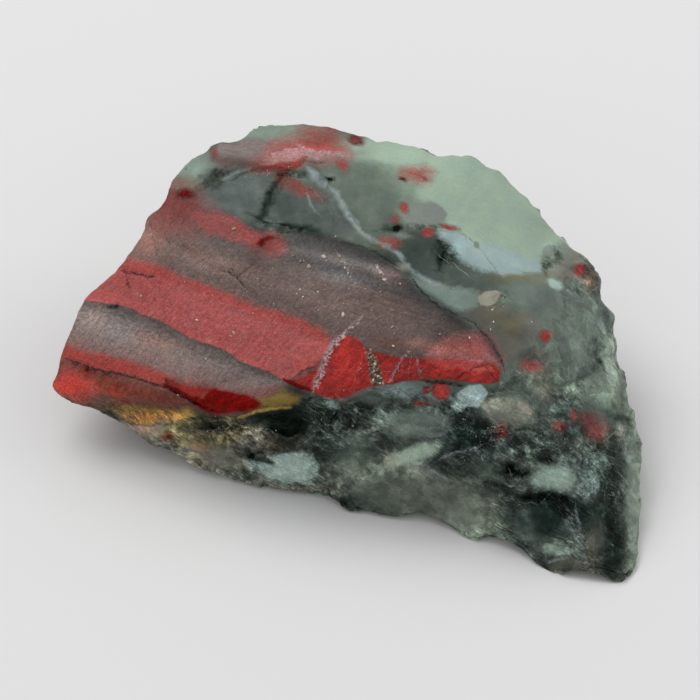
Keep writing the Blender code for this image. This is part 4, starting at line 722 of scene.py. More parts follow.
# Soft ovals of the green rock: (u, v), half-width, half-height, how light it is and how brown.
ROCK_TONES = [
    (8.2, 18.7, 4.5, 2.2, 0.97, 0.5),  # dome
    (15.2, 16, 4.5, 3.2, 0.99, 0.5),  # dome
    (19.7, 11.5, 3, 2.5, 0.97, 0.45),  # dome
    (4.2, 20.5, 3.5, 1, 0.97, 0.42),  # dome's left end
    (2, 16.7, 2.6, 2.2, 0.73, 0.45),  # smooth facet left of the dome
    (2.4, 13, 2, 1.2, 0.69, 0.5),  # its foot
    (-11, 15.8, 3.2, 1.3, 0.68, 0.2),  # first grey facet
    (-5.6, 15, 2, 1.4, 0.6, 0.3),  # second grey facet
    (-2.6, 13.3, 2, 0.8, 0.55, 0.3),  # lower right of it
    (-0.3, 12.9, 1.2, 0.6, 0.57, 0.3),  # foot of the long ridge
    (-16, 18.7, 1.8, 1.4, 0.92, 0.35),  # green corner
    (-16.6, 17.3, 1.2, 0.5, 0.79, 0.7),  # green corner, low
    # the next row is painted shade at the corner's foot, where the green dips under the mauve fold
    (-13.6, 17.7, 1.2, 0.7, 0.6, 0.6),  # corner's dark foot
    (-7.6, 22.4, 3, 0.7, 0.91, 0.45),  # green rind
    (-4.8, 17.9, 1.4, 0.6, 0.65, 0.4),  # under the peak
    (7.7, 14.1, 2.1, 1, 0.91, 0.6),  # dull grey oval
    (7, 10.3, 1.6, 1.6, 0.48, 0.3),  # dark oval
    (10.2, 8.3, 2.2, 1, 0.57, 0.3),  # right of the dark oval
    (17.4, 5.7, 1.8, 1, 0.79, 0.3),  # right of the teal lens
    (19.7, 5.3, 1.2, 1, 0.69, 0.35),  # next to it
    (22, 6.3, 1.6, 0.8, 0.79, 0.35),  # mottled by the chip
    (23, 9.3, 1.8, 1.8, 0.79, 0.85),  # upper right corner
    (21.2, 2, 2.6, 2.6, 0.76, 0.42),  # mottled
    (15.7, 2.7, 2.6, 2, 0.64, 0.9),  # brown-grey
    (19.2, -0.3, 1.4, 0.9, 0.43, 0.8),  # below it
    (17.2, -2.5, 2.4, 1, 0.71, 0.42),  # mottled
    (19.7, -4.7, 1.8, 1, 0.6, 0.4),  # green right of the fawn block
    (19.7, -3.4, 0.8, 0.5, 0.89, 0.7),  # pale spot
    (22.7, 1, 2.2, 0.6, 0.85, 0.35),  # pale streak
    (25.6, -2.5, 1, 2.2, 1.05, 0.5),  # right edge
    (25.6, 1, 0.8, 1.4, 0.84, 0.5),  # right edge, mid
    (25.4, 4.3, 1, 1.8, 0.75, 0.35),  # right edge, upper
    (23.4, -3, 2, 1.6, 0.71, 0.45),  # mottled
    (22.2, -1, 2, 1.2, 0.73, 0.35),  # its upper part
    (27, -6, 1.4, 1.4, 0.71, 0.5),  # low right
    (28.6, -14.5, 0.9, 6, 0.87, 0.55),  # right rim
    (26.7, -11.5, 0.8, 4, 0.57, 0.4),  # inside the rim
    (26.6, -18.5, 1, 2.2, 0.3, 0.45),  # dark green
    (26.4, -14.5, 0.9, 1.8, 0.37, 0.4),  # above it
    (24.8, -15.7, 0.8, 1.2, 0.34, 0.35),  # left of the rim
    (20.2, -8.5, 3.6, 1.2, 0.57, 0.35),  # broken
    (22.9, -9.4, 1.1, 0.9, 0.76, 0.35),  # right of the broken part
    (15.4, -9.1, 1, 0.8, 0.79, 0.35),  # left of it
    (20.2, -15.8, 2.2, 1.3, 0.11, 0.05),  # dark box
    (17.2, -16.5, 1.1, 1.2, 0.6, 0.2),  # its left part
    (16.4, -18.5, 1.2, 1.2, 0.87, 0.45),  # left of the box
    (24.4, -11, 1.4, 1.2, 0.69, 0.3),  # teal right of the block
    (24, -13.5, 1.1, 0.9, 0.96, 0.2),  # below it
    (24.9, -18.5, 0.9, 2, 0.5, 0.8),  # beside the corner ridge
    (21.4, -20.9, 2, 0.6, 0.55, 0.8),  # low facet
    (20.5, -19.4, 1.5, 0.7, 1.02, 0.4),  # pale foot
    (22.1, -16.8, 0.7, 1.1, 0.6, 0.3),  # pale ridge
    (18.5, -19, 0.8, 0.6, 0.6, 0.3),  # dark left of it
    (8.2, -14, 4, 1.8, 0.71, 0.62),  # low grey face
    (12.2, -16, 2.4, 1.4, 0.76, 0.6),  # its right foot
    (13.4, -17.7, 1.6, 0.8, 0.96, 0.5),  # its far foot
    (13.4, -12.7, 1.4, 0.8, 0.73, 0.45),  # its right end
    (3.7, -14.5, 2.5, 1.2, 0.62, 0.5),  # low grey face, left
    (5.4, -11.6, 1.8, 0.6, 0.91, 0.65),  # its upper edge, left
    (11.2, -11.3, 2, 0.7, 0.45, 0.4),  # its upper edge, right
    (1, -8.3, 2.6, 1.4, 0.55, 0.4),  # wall
    (-2.6, -9.7, 1.6, 0.8, 0.4, 0.45),  # under the pale scratches
    (2.7, -10.3, 1.6, 1, 0.69, 0.5),  # left of the mint streak
    (6.7, -6.5, 3, 1.4, 0.73, 0.35),  # smooth oval on the wall
    (-13.3, -7.9, 3.4, 1, 0.67, 1.2),  # wall, left
    (-10.1, -8.3, 1.6, 0.9, 1, 0.85),  # right of it
    (-13.4, -7.2, 1.6, 0.3, 0.4, 1.2),  # lens
    (-19.8, -7.7, 1.8, 0.8, 0.85, 1),  # wall, far left
    (-16.6, -7.6, 1.2, 0.8, 0.89, 1.1),  # between
    (-14.4, -5.8, 1.6, 0.4, 0.26, 1.2),  # brown-black under the band
    (-11.3, -10.3, 2.4, 0.9, 0.73, 0.8),  # grey on the wall's left
    (-14.8, -10.3, 1.6, 1, 0.91, 0.9),  # its left end
    (-9.3, -12.3, 1.8, 0.5, 0.75, 0.65),  # lower left foot
    (-12.8, -12, 1.4, 0.5, 0.82, 0.7),  # left foot
    # the next row is painted shade in the hollow under the ledge
    (-6, -6.3, 2.6, 1.4, 0.06, 0.6),  # hollow
    (-7.3, -8.7, 2.4, 0.7, 0.45, 0.95),  # olive under the hollow
    (-1.8, -6, 2.2, 1.6, 0.6, 0.35),  # right of the hollow
    (12.4, -7.7, 2.6, 1.8, 0.37, 0),  # teal
    (13.4, -9.5, 1.8, 0.6, 0.5, 0),  # its lower end
    (0.2, -12.3, 2.6, 1.4, 0.96, 0.6),  # wall, low
    (3.7, -10.8, 1.6, 0.8, 1.02, 0.65),  # left of the low grey face
    (-2, -11.5, 0.8, 1.4, 0.5, 0.6),  # right of the mint patch
    (5.2, -4.1, 5, 0.6, 0.69, 0.3),  # under the ledge
    (15.7, -6.5, 2.4, 1.4, 0.69, 0.4),  # green below the ledge
]


def ring_angles(points):
    """The points in the order of their angle round the origin, one more at each end, and those angles."""
    ordered = sorted(points, key=lambda p: math.atan2(p[1], p[0]))
    ring = np.array([ordered[-1], *ordered, ordered[0]])
    angles = np.unwrap(np.arctan2(ring[:, 1], ring[:, 0]))
    return ring, angles + math.tau * round(-(angles[0] + math.pi) / math.tau)


def outline_reach(angle):
    """How far the outline lies from the origin in each direction."""
    ring, angles = ring_angles(OUTLINE)
    side = np.clip(np.searchsorted(angles, angle) - 1, 0, len(ring) - 2)
    start = ring[side]
    along = ring[side + 1] - start
    facing = np.stack([np.cos(angle), np.sin(angle)], axis=1)
    return cross(start, along) / cross(facing, along)


def cross(a, b):
    return a[..., 0] * b[..., 1] - a[..., 1] * b[..., 0]


def edge_depth(angle):
    """How far forward the front sheet's edge lies in each direction."""
    ring, angles = ring_angles(EDGE_DEPTHS)
    return np.interp(angle, angles, ring[:, 2])


def front_spots():
    """Every spot height of the front sheet, and the pairs of them that a fold joins."""
    rim_angle = np.array([math.atan2(v, u) for u, v in OUTLINE])
    rim = [(u, v, w) for (u, v), w in zip(OUTLINE, edge_depth(rim_angle))]
    spots = list(rim)
    joined = [(i, (i + 1) % len(rim)) for i in range(len(rim))]
    for fold in FOLDS:
        for a, b in zip(fold, fold[1:]):
            for spot in (a, b):
                if spot not in spots:
                    spots.append(spot)
            joined.append((spots.index(a), spots.index(b)))
    return spots + BETWEEN, joined


def front_depth(flat):
    """The front sheet's depth at each (u, v), on flat triangles between the spot heights."""
    spots, joined = front_spots()
    corners, _, faces, came_from, _, _ = delaunay_2d_cdt([Vector(s[:2]) for s in spots], joined, [], 0, 1e-6)
    height = [spots[sources[0]][2] for sources in came_from]
    best = np.full(len(flat), -np.inf)
    depth = np.zeros(len(flat))
    for a, b, c in faces:
        start, *ends = (np.array(corners[i]) for i in (a, b, c))
        to, to_b, to_c = flat - start, ends[0] - start, ends[1] - start
        share_b = cross(to, to_c) / cross(to_b, to_c)
        share_c = cross(to_b, to) / cross(to_b, to_c)
        inside = np.minimum(np.minimum(share_b, share_c), 1 - share_b - share_c)
        nearer = inside > best
        here = height[a] + share_b * (height[b] - height[a]) + share_c * (height[c] - height[a])
        depth[nearer] = here[nearer]
        best[nearer] = inside[nearer]
    return depth


def back_planes(flat):
    """The depth of the back sheet before its scars, and its slope, at each (u, v)."""
    depths = [FLOOR - UNDERCUT - flat[:, 1]]
    slopes = [(0.0, -1.0)]
    for (out_u, out_v), start, depth, steep in BACK_BREAKS:
        inward = start - out_u * flat[:, 0] - out_v * flat[:, 1]
        depths.append(depth - steep * inward)
        slopes.append((steep * out_u, steep * out_v))
    depths = np.array(depths)
    first = depths.argmax(axis=0)
    return depths.max(axis=0), np.array(slopes)[first]


def back_depth(flat):
    """The back sheet's depth at each (u, v): the foremost of its flat breaks and its hollow scars."""
    depth, _ = back_planes(flat)
    for u, v, radius, bite in BACK_SCARS:
        (w,), (slope,) = back_planes(np.array([[u, v]]))
        outward = Vector((slope[0], slope[1], -1.0)).normalized()
        middle = Vector((u, v, w)) + outward * (radius - bite)
        reach = (flat[:, 0] - middle.x) ** 2 + (flat[:, 1] - middle.y) ** 2
        dome = middle.z + np.sqrt(np.maximum(radius**2 - reach, 0))
        depth = np.where(reach < radius**2, np.maximum(depth, dome), depth)
    return depth


def ledge_drop(flat):
    """How far the ledges lower the front sheet at each (u, v)."""
    drop = np.zeros(len(flat))
    for line, depth, reach in LEDGES:
        distance, side, along = line_measure(flat, np.array(line))
        step = np.clip(side * distance / STEP_WIDTH, 0, 1)
        drop += depth * end_fade(along) * step * np.exp(-distance / reach)
    return drop


def end_fade(along):
    """1 along most of a line, falling to 0 over the sixth of its length at either end."""
    return np.clip(np.minimum(along, 1 - along) * 6, 0, 1)


def line_measure(flat, line):
    """For each (u, v): its distance to a broken line, 1 on the line's right-hand side and -1 on its left, and
    the share of the line's length at which it lies."""
    best = np.full(len(flat), np.inf)
    side = np.ones(len(flat))
    along = np.zeros(len(flat))
    lengths = np.hypot(*np.diff(line, axis=0).T)
    travelled = 0.0
    for start, end, length in zip(line, line[1:], lengths):
        run = (end - start) / length
        to = flat - start
        t = np.clip(to @ run, 0, length)
        gap = to - t[:, None] * run
        distance = np.hypot(gap[:, 0], gap[:, 1])
        nearer = distance < best
        best[nearer] = distance[nearer]
        side[nearer] = np.where(cross(run, to) < 0, 1, -1)[nearer]
        along[nearer] = ((travelled + t) / lengths.sum())[nearer]
        travelled += length
    return best, side, along


def ridge_rise(flat):
    """How far the low ridges raise the front sheet at each (u, v)."""
    rise = np.zeros(len(flat))
    for line, height, half_width in RIDGES:
        distance, _, along = line_measure(flat, np.array(line))
        rise += height * end_fade(along) * np.exp(-((distance / half_width) ** 2))
    return rise


def dent_depth(flat):
    """How far the hollows lower the front sheet at each (u, v)."""
    sink = np.zeros(len(flat))
    for *oval, depth in DENTS:
        reach = oval_square(flat, *oval)
        sink += depth * np.clip(1 - reach, 0, 1) ** 2 * (1 + reach)
    return sink


def oval_square(flat, u, v, half_long, half_short, tilt):
    """The square of how far each (u, v) lies from an oval's middle, with its rim at 1."""
    turn = math.radians(tilt)
    across = flat - (u, v)
    x = across[:, 0] * math.cos(turn) + across[:, 1] * math.sin(turn)
    y = across[:, 1] * math.cos(turn) - across[:, 0] * math.sin(turn)
    return (x / half_long) ** 2 + (y / half_short) ** 2


def in_oval(u, v, tilt, x, y):
    """The (u, v) of a place that lies x along an oval and y across it."""
    turn = math.radians(tilt)
    return u + x * math.cos(turn) - y * math.sin(turn), v + x * math.sin(turn) + y * math.cos(turn)


def even_out(values, edges, loose, rounds):
    """Moves the value of each loose point halfway to the mean of its neighbours', again and again."""
    ends = np.concatenate([edges, edges[:, ::-1]])
    ends = ends[loose[ends[:, 0]]]
    count = np.maximum(np.bincount(ends[:, 0], minlength=len(values)), 1)
    for _ in range(rounds):
        mean = np.bincount(ends[:, 0], values[ends[:, 1]], minlength=len(values)) / count
        values = np.where(loose, (values + mean) / 2, values)
    return values


def stone_points(ball, edges):
    """Where each point of a unit ball goes on the stone, in millimetres, and how rough the stone is there."""
    angle = np.arctan2(ball[:, 1], ball[:, 0])
    high = (1 - ball[:, 2]) / 2
    edge_end = FRONT_SHARE + EDGE_SHARE
    outward = np.minimum(high / FRONT_SHARE, (1 - high) / (1 - edge_end))
    reach = outline_reach(angle) * np.sqrt(np.clip(outward, 0, 1))
    flat = np.stack([reach * np.cos(angle), reach * np.sin(angle)], axis=1)
    front = even_out(front_depth(flat), edges, high < FRONT_SHARE, EVENING_ROUNDS)
    front += ridge_rise(flat) - ledge_drop(flat) - dent_depth(flat)
    back = np.minimum(back_depth(flat), front - THINNEST)
    down_edge = np.clip((high - FRONT_SHARE) / EDGE_SHARE, 0, 1)
    rough = front_roughness(flat)
    rough += (1 - rough) * down_edge
    return np.column_stack([flat, front + (back - front) * down_edge]), rough


def front_roughness(flat):
    """The share of the scallops' depth that shows at each (u, v) of the front sheet."""
    distance, side, _ = line_measure(flat, np.array(WALL_TOP))
    below = np.clip(0.5 + side * distance / WALL_TOP_BLEND, 0, 1)
    return SMOOTH_FACES + (ROUGH_WALL - SMOOTH_FACES) * below


def quad_ball():
    """A unit ball of nearly even squares: a cube cut into a fine grid and blown up."""
    bm = bmesh.new()
    bmesh.ops.create_cube(bm, size=2.0)
    bmesh.ops.subdivide_edges(bm, edges=bm.edges, cuts=BALL_CUTS, use_grid_fill=True)
    for vert in bm.verts:
        vert.co = Vector([math.tan(c * math.pi / 4) for c in vert.co]).normalized()
    mesh = bpy.data.meshes.new("stone")
    bm.to_mesh(mesh)
    bm.free()
    return mesh


def read(source, name, size, kind=np.float32):
    """What a mesh's points or edges hold under a name, as an array with SIZE numbers in each row."""
    values = np.empty(len(source) * size, kind)
    source.foreach_get(name, values)
    return values.reshape(-1, size)


def read_points(mesh):
    return read(mesh.vertices, "co", 3).astype(float)


def read_normals(mesh):
    return read(mesh.vertices, "normal", 3).astype(float)


def write_points(mesh, points):
    mesh.vertices.foreach_set("co", points.astype(np.float32).ravel())
    mesh.update()


def soften(mesh, rounds):
    bm = bmesh.new()
    bm.from_mesh(mesh)
    every_way = {"use_axis_x": True, "use_axis_y": True, "use_axis_z": True}
    for _ in range(rounds):
        bmesh.ops.smooth_vert(bm, verts=bm.verts, factor=0.5, **every_way)
    bm.to_mesh(mesh)
    bm.free()


def smooth_noise(points, size):
    return np.array([noise.noise(Vector(p)) for p in points / size])


def scars(points, size):
    """Small hollow scars: 0 in the middle of each, 1 at its sharp rim."""
    return np.array([min(noise.voronoi(Vector(p))[0][0], 1.0) ** 2 for p in points / size])


def bending(points, size):
    """Three numbers for each point, by which the rims of the scars are bent."""
    apart = [Vector(OFFSET) * axis for axis in range(3)]
    return np.array([[noise.noise(Vector(p) / size + way) for way in apart] for p in points])


def big_lumps(points, rough):
    """The lumps and scars that the stone's main shape has."""
    push = np.zeros(len(points))
    for size, height in LUMPS:
        push += height * smooth_noise(points, size)
    bend = bending(points, 4.0)
    for size, depth in SCALLOPS:
        push += rough * depth * (scars(points + bend * size * 0.3, size) - 0.5)
    return push


def edge_drags(flat):
    """Small pushes that carry the outline out or in to where its nicks and bulges lie."""
    shift = np.zeros_like(flat)
    for u, v, reach, push_u, push_v in EDGE_DRAGS:
        share = np.exp(-((flat[:, 0] - u) ** 2 + (flat[:, 1] - v) ** 2) / reach**2)
        shift += share[:, None] * (push_u, push_v)
    return shift


def oval_areas(flat, areas):
    """How strongly each (u, v) belongs to some ovals, each with its strength: 0 outside them all."""
    share = np.zeros(len(flat))
    for *oval, strength in areas:
        share = np.maximum(share, np.exp(-1.5 * oval_square(flat, *oval) ** 2) * strength)
    return share


def fine_relief(points, normals, torn):
    """Hackle, flakes and small chips of the rough break, the nicks of the rim, and the faint unevenness of
    the smooth faces."""
    bend = bending(points, 1.5)
    relief = np.zeros(len(points))
    for size, height in HACKLE:
        relief += torn * height * (0.5 - np.abs(smooth_noise(points + bend * 0.4, size)) * 2)
    for size, depth in CHIPS:
        relief += torn * depth * (scars(points + bend * size * 0.5, size) - 0.5)
    for direction, spacing, height in FLAKES:
        along = points @ np.array(direction) / spacing + 1.3 * smooth_noise(points, 3.0) + 0.5 * bend[:, 0]
        where = np.clip(smooth_noise(points + 40.0, 4.0) * 3 + 0.4, 0, 1)
        relief += torn * where * height * (along - np.floor(along) - 0.5)
    rim = np.exp(-((normals[:, 2] / 0.4) ** 2))
    relief += rim * (0.22 * smooth_noise(points, 1.5) + 0.1 * smooth_noise(points, 0.7))
    relief += 0.035 * smooth_noise(points, 1.1) + 0.02 * smooth_noise(points, 0.45)
    return relief


def line_field(flat, lines):
    """The signed distance to the nearest of some lines, and that line's half-width there, in millimetres."""
    offset = np.full(len(flat), 9.0)
    width = np.full(len(flat), -9.0)
    for half_width, line in lines:
        distance, side, along = line_measure(flat, np.array(line))
        nearer = distance - half_width < np.abs(offset) - width
        offset[nearer] = (distance * side)[nearer]
        width[nearer] = (half_width * end_fade(along) ** 0.5)[nearer]
    return np.clip(offset, -2, 2), width


def scratches():
    """Fine scratches strewn over the shattered areas, most of them running down to the right, and the clear
    ones elsewhere on the wall."""
    rng = np.random.default_rng(8)
    lines = []
    for u, v, half_long, half_short, tilt, strength in SHATTERED_AREAS:
        for _ in range(round(half_long * half_short * strength * 1.6 + 1)):
            start = in_oval(u, v, tilt, *rng.uniform(-0.85, 0.85, 2) * (half_long, half_short))
            heading = math.radians(rng.choice([-42, -30, 14]) + rng.normal(0, 9))
            bend = rng.normal(0, 0.5)
            length = rng.uniform(0.5, 2.2)
            half_width = rng.uniform(-0.03, 0.03)
            turns = [(t, heading + bend * t) for t in (0, 0.5, 1)]
            line = [np.array(start) + length * t * np.array([math.cos(a), math.sin(a)]) for t, a in turns]
            if patch_depth(np.array(line), BANDED_FACE).max() < -0.3:
                lines.append((half_width, line))
    return lines + SCRATCHES


def wobble(points, sizes):
    """Shifts (u, v) a little this way and that, so that the edges of patches and spots run unevenly."""
    shift = np.zeros((len(points), 2))
    for size, reach in sizes:
        for axis in range(2):
            shift[:, axis] += reach * smooth_noise(points + np.array(OFFSET) * (axis + 1), size)
    return shift


def patch_depth(flat, outline):
    """How far inside a closed outline each (u, v) lies, in millimetres, negative outside."""
    ring = np.array(outline)
    distance, _, _ = line_measure(flat, np.vstack([ring, ring[:1]]))
    inside = np.zeros(len(flat), bool)
    for (u1, v1), (u2, v2) in zip(ring, np.roll(ring, -1, axis=0)):
        if v1 == v2:
            continue
        crosses = (flat[:, 1] >= min(v1, v2)) & (flat[:, 1] < max(v1, v2))
        reach = u1 + (flat[:, 1] - v1) / (v2 - v1) * (u2 - u1)
        inside ^= crosses & (flat[:, 0] < reach)
    return np.where(inside, distance, -distance)


def spot_depth(flat, *oval):
    """How far inside an oval spot each (u, v) lies, in millimetres."""
    return (1 - np.sqrt(oval_square(flat, *oval))) * min(oval[2:4])


def patch_field(flat, shift, patches, spots, behind):
    """How far inside the nearest patch or spot each (u, v) lies, in units of its softness, and the kind and
    the raggedness there. Each patch lies over the ones before it, and spots over patches. Spots end a little
    way in behind the front sheet; patches go on through the stone as layers do."""
    field = np.full(len(flat), -9.0)
    weight = np.full(len(flat), 1e-9)
    kind = np.zeros(len(flat))
    ragged = np.zeros(len(flat))
    bent = {softness: flat + shift * min(softness / 0.25, 1) for _, softness, *_ in patches + spots}
    depths = [(k, s, patch_depth(bent[s], outline) / s - behind * PATCH_FADE) for k, s, outline in patches]
    depths += [(k, s, (spot_depth(bent[s], *oval) - behind * SPOT_FADE) / s) for k, s, *oval in spots]
    for this_kind, softness, inside in depths:
        over = 1 / (1 + np.exp(-8 * np.clip(inside + 0.3, -3, 3)))
        share = np.exp(2 * np.clip(inside, -6, 3)) * (1 + 50 * over)
        weight += share - weight * over
        kind += share * this_kind - kind * over
        ragged += share * min(0.35 / softness, 1) - ragged * over
        field = np.maximum(field, inside)
    return field, kind / weight, ragged / weight


def layer_number(flat):
    """Which layer each (u, v) is in: it goes up by 1 from one boundary to the next, counting downwards."""
    edges = np.array([np.interp(flat[:, 0], *np.array(edge).T) for edge in LAYER_EDGES])
    below = edges - flat[:, 1]
    count = 1 + below[0] / OUTER_LAYER
    for i in range(len(edges) - 1):
        thick = np.maximum(edges[i] - edges[i + 1], 0.05)
        count = np.where(below[i] > 0, i + 1 + np.minimum(below[i] / thick, 1), count)
    count = np.where(below[-1] > 0, len(edges) + np.clip(below[-1] / OUTER_LAYER, 0, 1), count)
    return np.clip(count, 0, len(edges) + 1)


def rock_tone(flat, behind):
    """How light the green rock is, and how far its colour goes from blue to brown, blended between soft
    ovals."""
    weight = np.full(len(flat), 0.02)
    tone = weight * 0.6
    hue = weight * 0.5
    for u, v, wide, tall, this_tone, this_hue in ROCK_TONES:
        share = np.exp(-np.minimum(oval_square(flat, u, v, wide, tall, 0), 60) * 1.2 - behind * 0.5)
        weight += share
        tone += share * this_tone
        hue += share * this_hue
    return tone / weight, hue / weight


def soft_shades(flat, behind):
    """How much lighter and how much warmer each (u, v) is than its layer, as powers of e."""
    shades = np.zeros((2, len(flat)))
    for *oval, light, warm in SOFT_SHADES:
        shades += np.exp(-oval_square(flat, *oval) - behind) * [[light], [warm]]
    return shades


def hidden_side_spots(points, behind, count, seed, sizes):
    """Spots on the sides that the broad face hides, scattered with a fixed seed and kept off its rim."""
    rng = np.random.default_rng(seed)
    hidden = points[behind > HIDDEN]
    field = np.full(len(points), -9.0)
    for middle in hidden[rng.integers(len(hidden), size=count)]:
        stretch = rng.uniform(0.6, 1.6, 3)
        reach = np.sqrt((((points - middle) / stretch) ** 2).sum(axis=1))
        field = np.maximum(field, (rng.uniform(*sizes) - reach) / 0.3)
    return np.minimum(field, (behind - HIDDEN - 2) * 2)


def write_number(mesh, name, values):
    mesh.attributes.new(name, "FLOAT", "POINT").data.foreach_set("value", values.astype(np.float32))


def dress(mesh, shift):
    """Writes what the jasper's colours are read from, as one number for each point."""
    back = np.array(face_to_world(shift).inverted())
    points = read_points(mesh) @ back[:3, :3].T + back[:3, 3]
    front = read(mesh.attributes["front"].data, "value", 1)[:, 0] > 0.5
    flat = points[:, :2]
    behind = np.where(front, 0.0, np.maximum(front_depth(flat) - points[:, 2], 0))
    tilted = flat + np.column_stack([0 * behind, LAYER_DIP * behind])
    uneven = wobble(points, EDGE_WOBBLE)
    black = [[(0, *patch) for patch in patches] for patches in (DARK_PATCHES, DARK_SPOTS)]
    numbers = {
        "layer": layer_number(tilted),
        "along": tilted[:, 0],
        "banded": patch_depth(tilted, BANDED_FACE) / BANDED_EDGE - behind * 0.25,
        "mauve_top": patch_depth(tilted, MAUVE_TOP) / MAUVE_EDGE - behind * 0.8,
        "wedge": patch_depth(tilted, WEDGE_VEIN) / WEDGE_EDGE - behind,
        "dark": patch_field(tilted, uneven, *black, behind * 2)[0],
    }
    red = patch_field(tilted, uneven, RED_PATCHES, RED_SPOTS, behind)
    pale = patch_field(tilted, uneven, PALE_PATCHES, PALE_SPOTS, behind * 2)
    numbers |= zip(("red", "red_depth", "red_ragged"), red)
    numbers |= zip(("pale", "pale_kind", "pale_ragged"), pale)
    numbers |= zip(("tone", "hue"), rock_tone(tilted, behind))
    numbers |= zip(("light", "warm"), soft_shades(tilted, behind))
    for name, *scattered in (("red", 26, 4, (0.3, 1.3)), ("pale", 16, 9, (0.4, 1.5))):
        numbers[name] = np.maximum(numbers[name], hidden_side_spots(points, behind, *scattered))
    wavy = tilted + wobble(points, LINE_WOBBLE)
    threads = (("crack", CRACKS, 0.5), ("vein", VEINS, 0.1))
    # the painted highlights along ridges and edges, and the scratches
    edges = (("edge_highlight", EDGE_HIGHLIGHTS, 0.5), ("scratch", scratches(), 0.5))
    for name, lines, fade in threads + edges:
        offset, width = line_field(wavy, lines)
        numbers[name] = offset
        numbers[name + "_width"] = width - behind * fade
    for name, values in numbers.items():
        write_number(mesh, name, values)
    face = mesh.attributes.new("face", "FLOAT_VECTOR", "POINT")
    face.data.foreach_set("vector", points.astype(np.float32).ravel())


def close_base(bm, rim):
    """Closes the cut with small flat faces, whose inner corners carry the mean of the rim's numbers."""
    bm.verts.index_update()
    corners = sorted({v for e in rim for v in e.verts}, key=lambda v: v.index)
    index = {v: i for i, v in enumerate(corners)}
    joined = [(index[e.verts[0]], index[e.verts[1]]) for e in rim]
    flat = np.array([v.co.xy for v in corners]) / MM
    columns, rows = (np.arange(low, high, BASE_GRID) for low, high in zip(flat.min(axis=0), flat.max(axis=0)))
    spots = [Vector(p) for p in [*flat, *((x, y) for x in columns for y in rows)]]
    places, _, faces, came_from, _, _ = delaunay_2d_cdt(spots, joined, [], 1, 0.0)
    means = [(layer, float(np.mean([v[layer] for v in corners]))) for layer in bm.verts.layers.float.values()]
    made = {}
    for face in faces:
        for i in face:
            if i in made:
                continue
            known = [source for source in came_from[i] if source < len(corners)]
            if known:
                made[i] = corners[known[0]]
                continue
            made[i] = bm.verts.new((places[i][0] * MM, places[i][1] * MM, 0))
            for layer, mean in means:
                made[i][layer] = mean
        bm.faces.new([made[i] for i in face])


def lie_down(mesh):
    """Leans the stone back, scales it to metres, cuts it flat where it rests, and centres it over that."""
    for step in (LEANED_BACK, LIFTED, IN_METRES):
        mesh.transform(step)
    bm = bmesh.new()
    bm.from_mesh(mesh)
    everything = bm.verts[:] + bm.edges[:] + bm.faces[:]
    cut = bmesh.ops.bisect_plane(
        bm, geom=everything, dist=1e-7, plane_co=(0, 0, 0), plane_no=(0, 0, -1), clear_outer=True
    )
    rim = [e for e in cut["geom_cut"] if isinstance(e, bmesh.types.BMEdge)]
    close_base(bm, rim)
    bmesh.ops.recalc_face_normals(bm, faces=bm.faces)
    bm.to_mesh(mesh)
    bm.free()
    points = read_points(mesh)
    middle = (points.min(axis=0) + points.max(axis=0)) / 2
    shift = Vector((-middle[0], -middle[1], -points[:, 2].min()))
    mesh.transform(Matrix.Translation(shift))
    return shift


def face_to_world(shift):
    """Turns face coordinates in millimetres into the stone's place as it lies."""
    return Matrix.Translation(shift) @ IN_METRES @ LIFTED @ LEANED_BACK


def make_stone():
    mesh = quad_ball()
    ball = read_points(mesh)
    front = (1 - ball[:, 2]) / 2 < FRONT_SHARE
    seen = (1 - ball[:, 2]) / 2 < FRONT_SHARE + EDGE_SHARE
    points, rough = stone_points(ball, read(mesh.edges, "vertices", 2, np.int32))
    write_points(mesh, points)
    soften(mesh, SOFTENING_ROUNDS)
    points = read_points(mesh)
    points += read_normals(mesh) * big_lumps(points, rough)[:, None]
    points[:, :2] += edge_drags(points[:, :2])
    write_points(mesh, points)
    broken = np.clip((rough - TORN_FROM) / (ROUGH_WALL - TORN_FROM), 0, 1)
    calm = oval_areas(points[:, :2], CALM_AREAS) * seen
    shattered = oval_areas(points[:, :2], SHATTERED_AREAS) * front
    torn = np.maximum(broken * (1 - calm), shattered)
    mottled = broken * (1 - 0.6 * calm)
    normals = read_normals(mesh)
    relief = fine_relief(points, normals, torn)
    offset, width = line_field(points[:, :2], CRACKS)
    groove = np.clip((width + GROOVE - np.abs(offset)) / GROOVE, 0, 1) * front
    points += normals * (relief - GROOVE * groove)[:, None]
    write_points(mesh, points)
    known = {"broken": broken, "mottled": mottled, "torn": torn, "shattered": shattered}
    for name, values in (known | {"relief": relief, "front": front}).items():
        write_number(mesh, name, values)
    shift = lie_down(mesh)
    dress(mesh, shift)
    mesh.shade_smooth()
    mesh.set_sharp_from_angle(angle=math.radians(SHARP_ANGLE))
    return show("stone", mesh), shift


def show(name, data):
    """A new object of the scene, from its mesh, light or camera."""
    made = bpy.data.objects.new(name, data)
    bpy.context.scene.collection.objects.link(made)
    return made


def new_material(name):
    material = bpy.data.materials.new(name)
    material.use_nodes = True
    return material, material.node_tree, material.node_tree.nodes["Principled BSDF"]


def add(tree, kind, settings=None, **sockets):
    """Adds a node, with its settings and its inputs by name."""
    made = tree.nodes.new(kind)
    for name, value in (settings or {}).items():
        setattr(made, name, value)
    fill(tree, made, **sockets)
    return made


def fill(tree, node, **sockets):
    """Joins or sets a node's inputs by name, an underscore standing for a space."""
    for name, value in sockets.items():
        join(tree, value, node.inputs[name.replace("_", " ")])


def join(tree, value, socket):
    if isinstance(value, bpy.types.NodeSocket):
        tree.links.new(value, socket)
    else:
        socket.default_value = value


def calc(tree, operation, *values, clamp=False):
    made = add(tree, "ShaderNodeMath", {"operation": operation, "use_clamp": clamp})
    for value, socket in zip(values, made.inputs):
        join(tree, value, socket)
    return made.outputs[0]


def times(tree, first, *others):
    for other in others:
        first = calc(tree, "MULTIPLY", first, other)
    return first


def greatest(tree, first, *others):
    for other in others:
        first = calc(tree, "MAXIMUM", first, other)
    return first


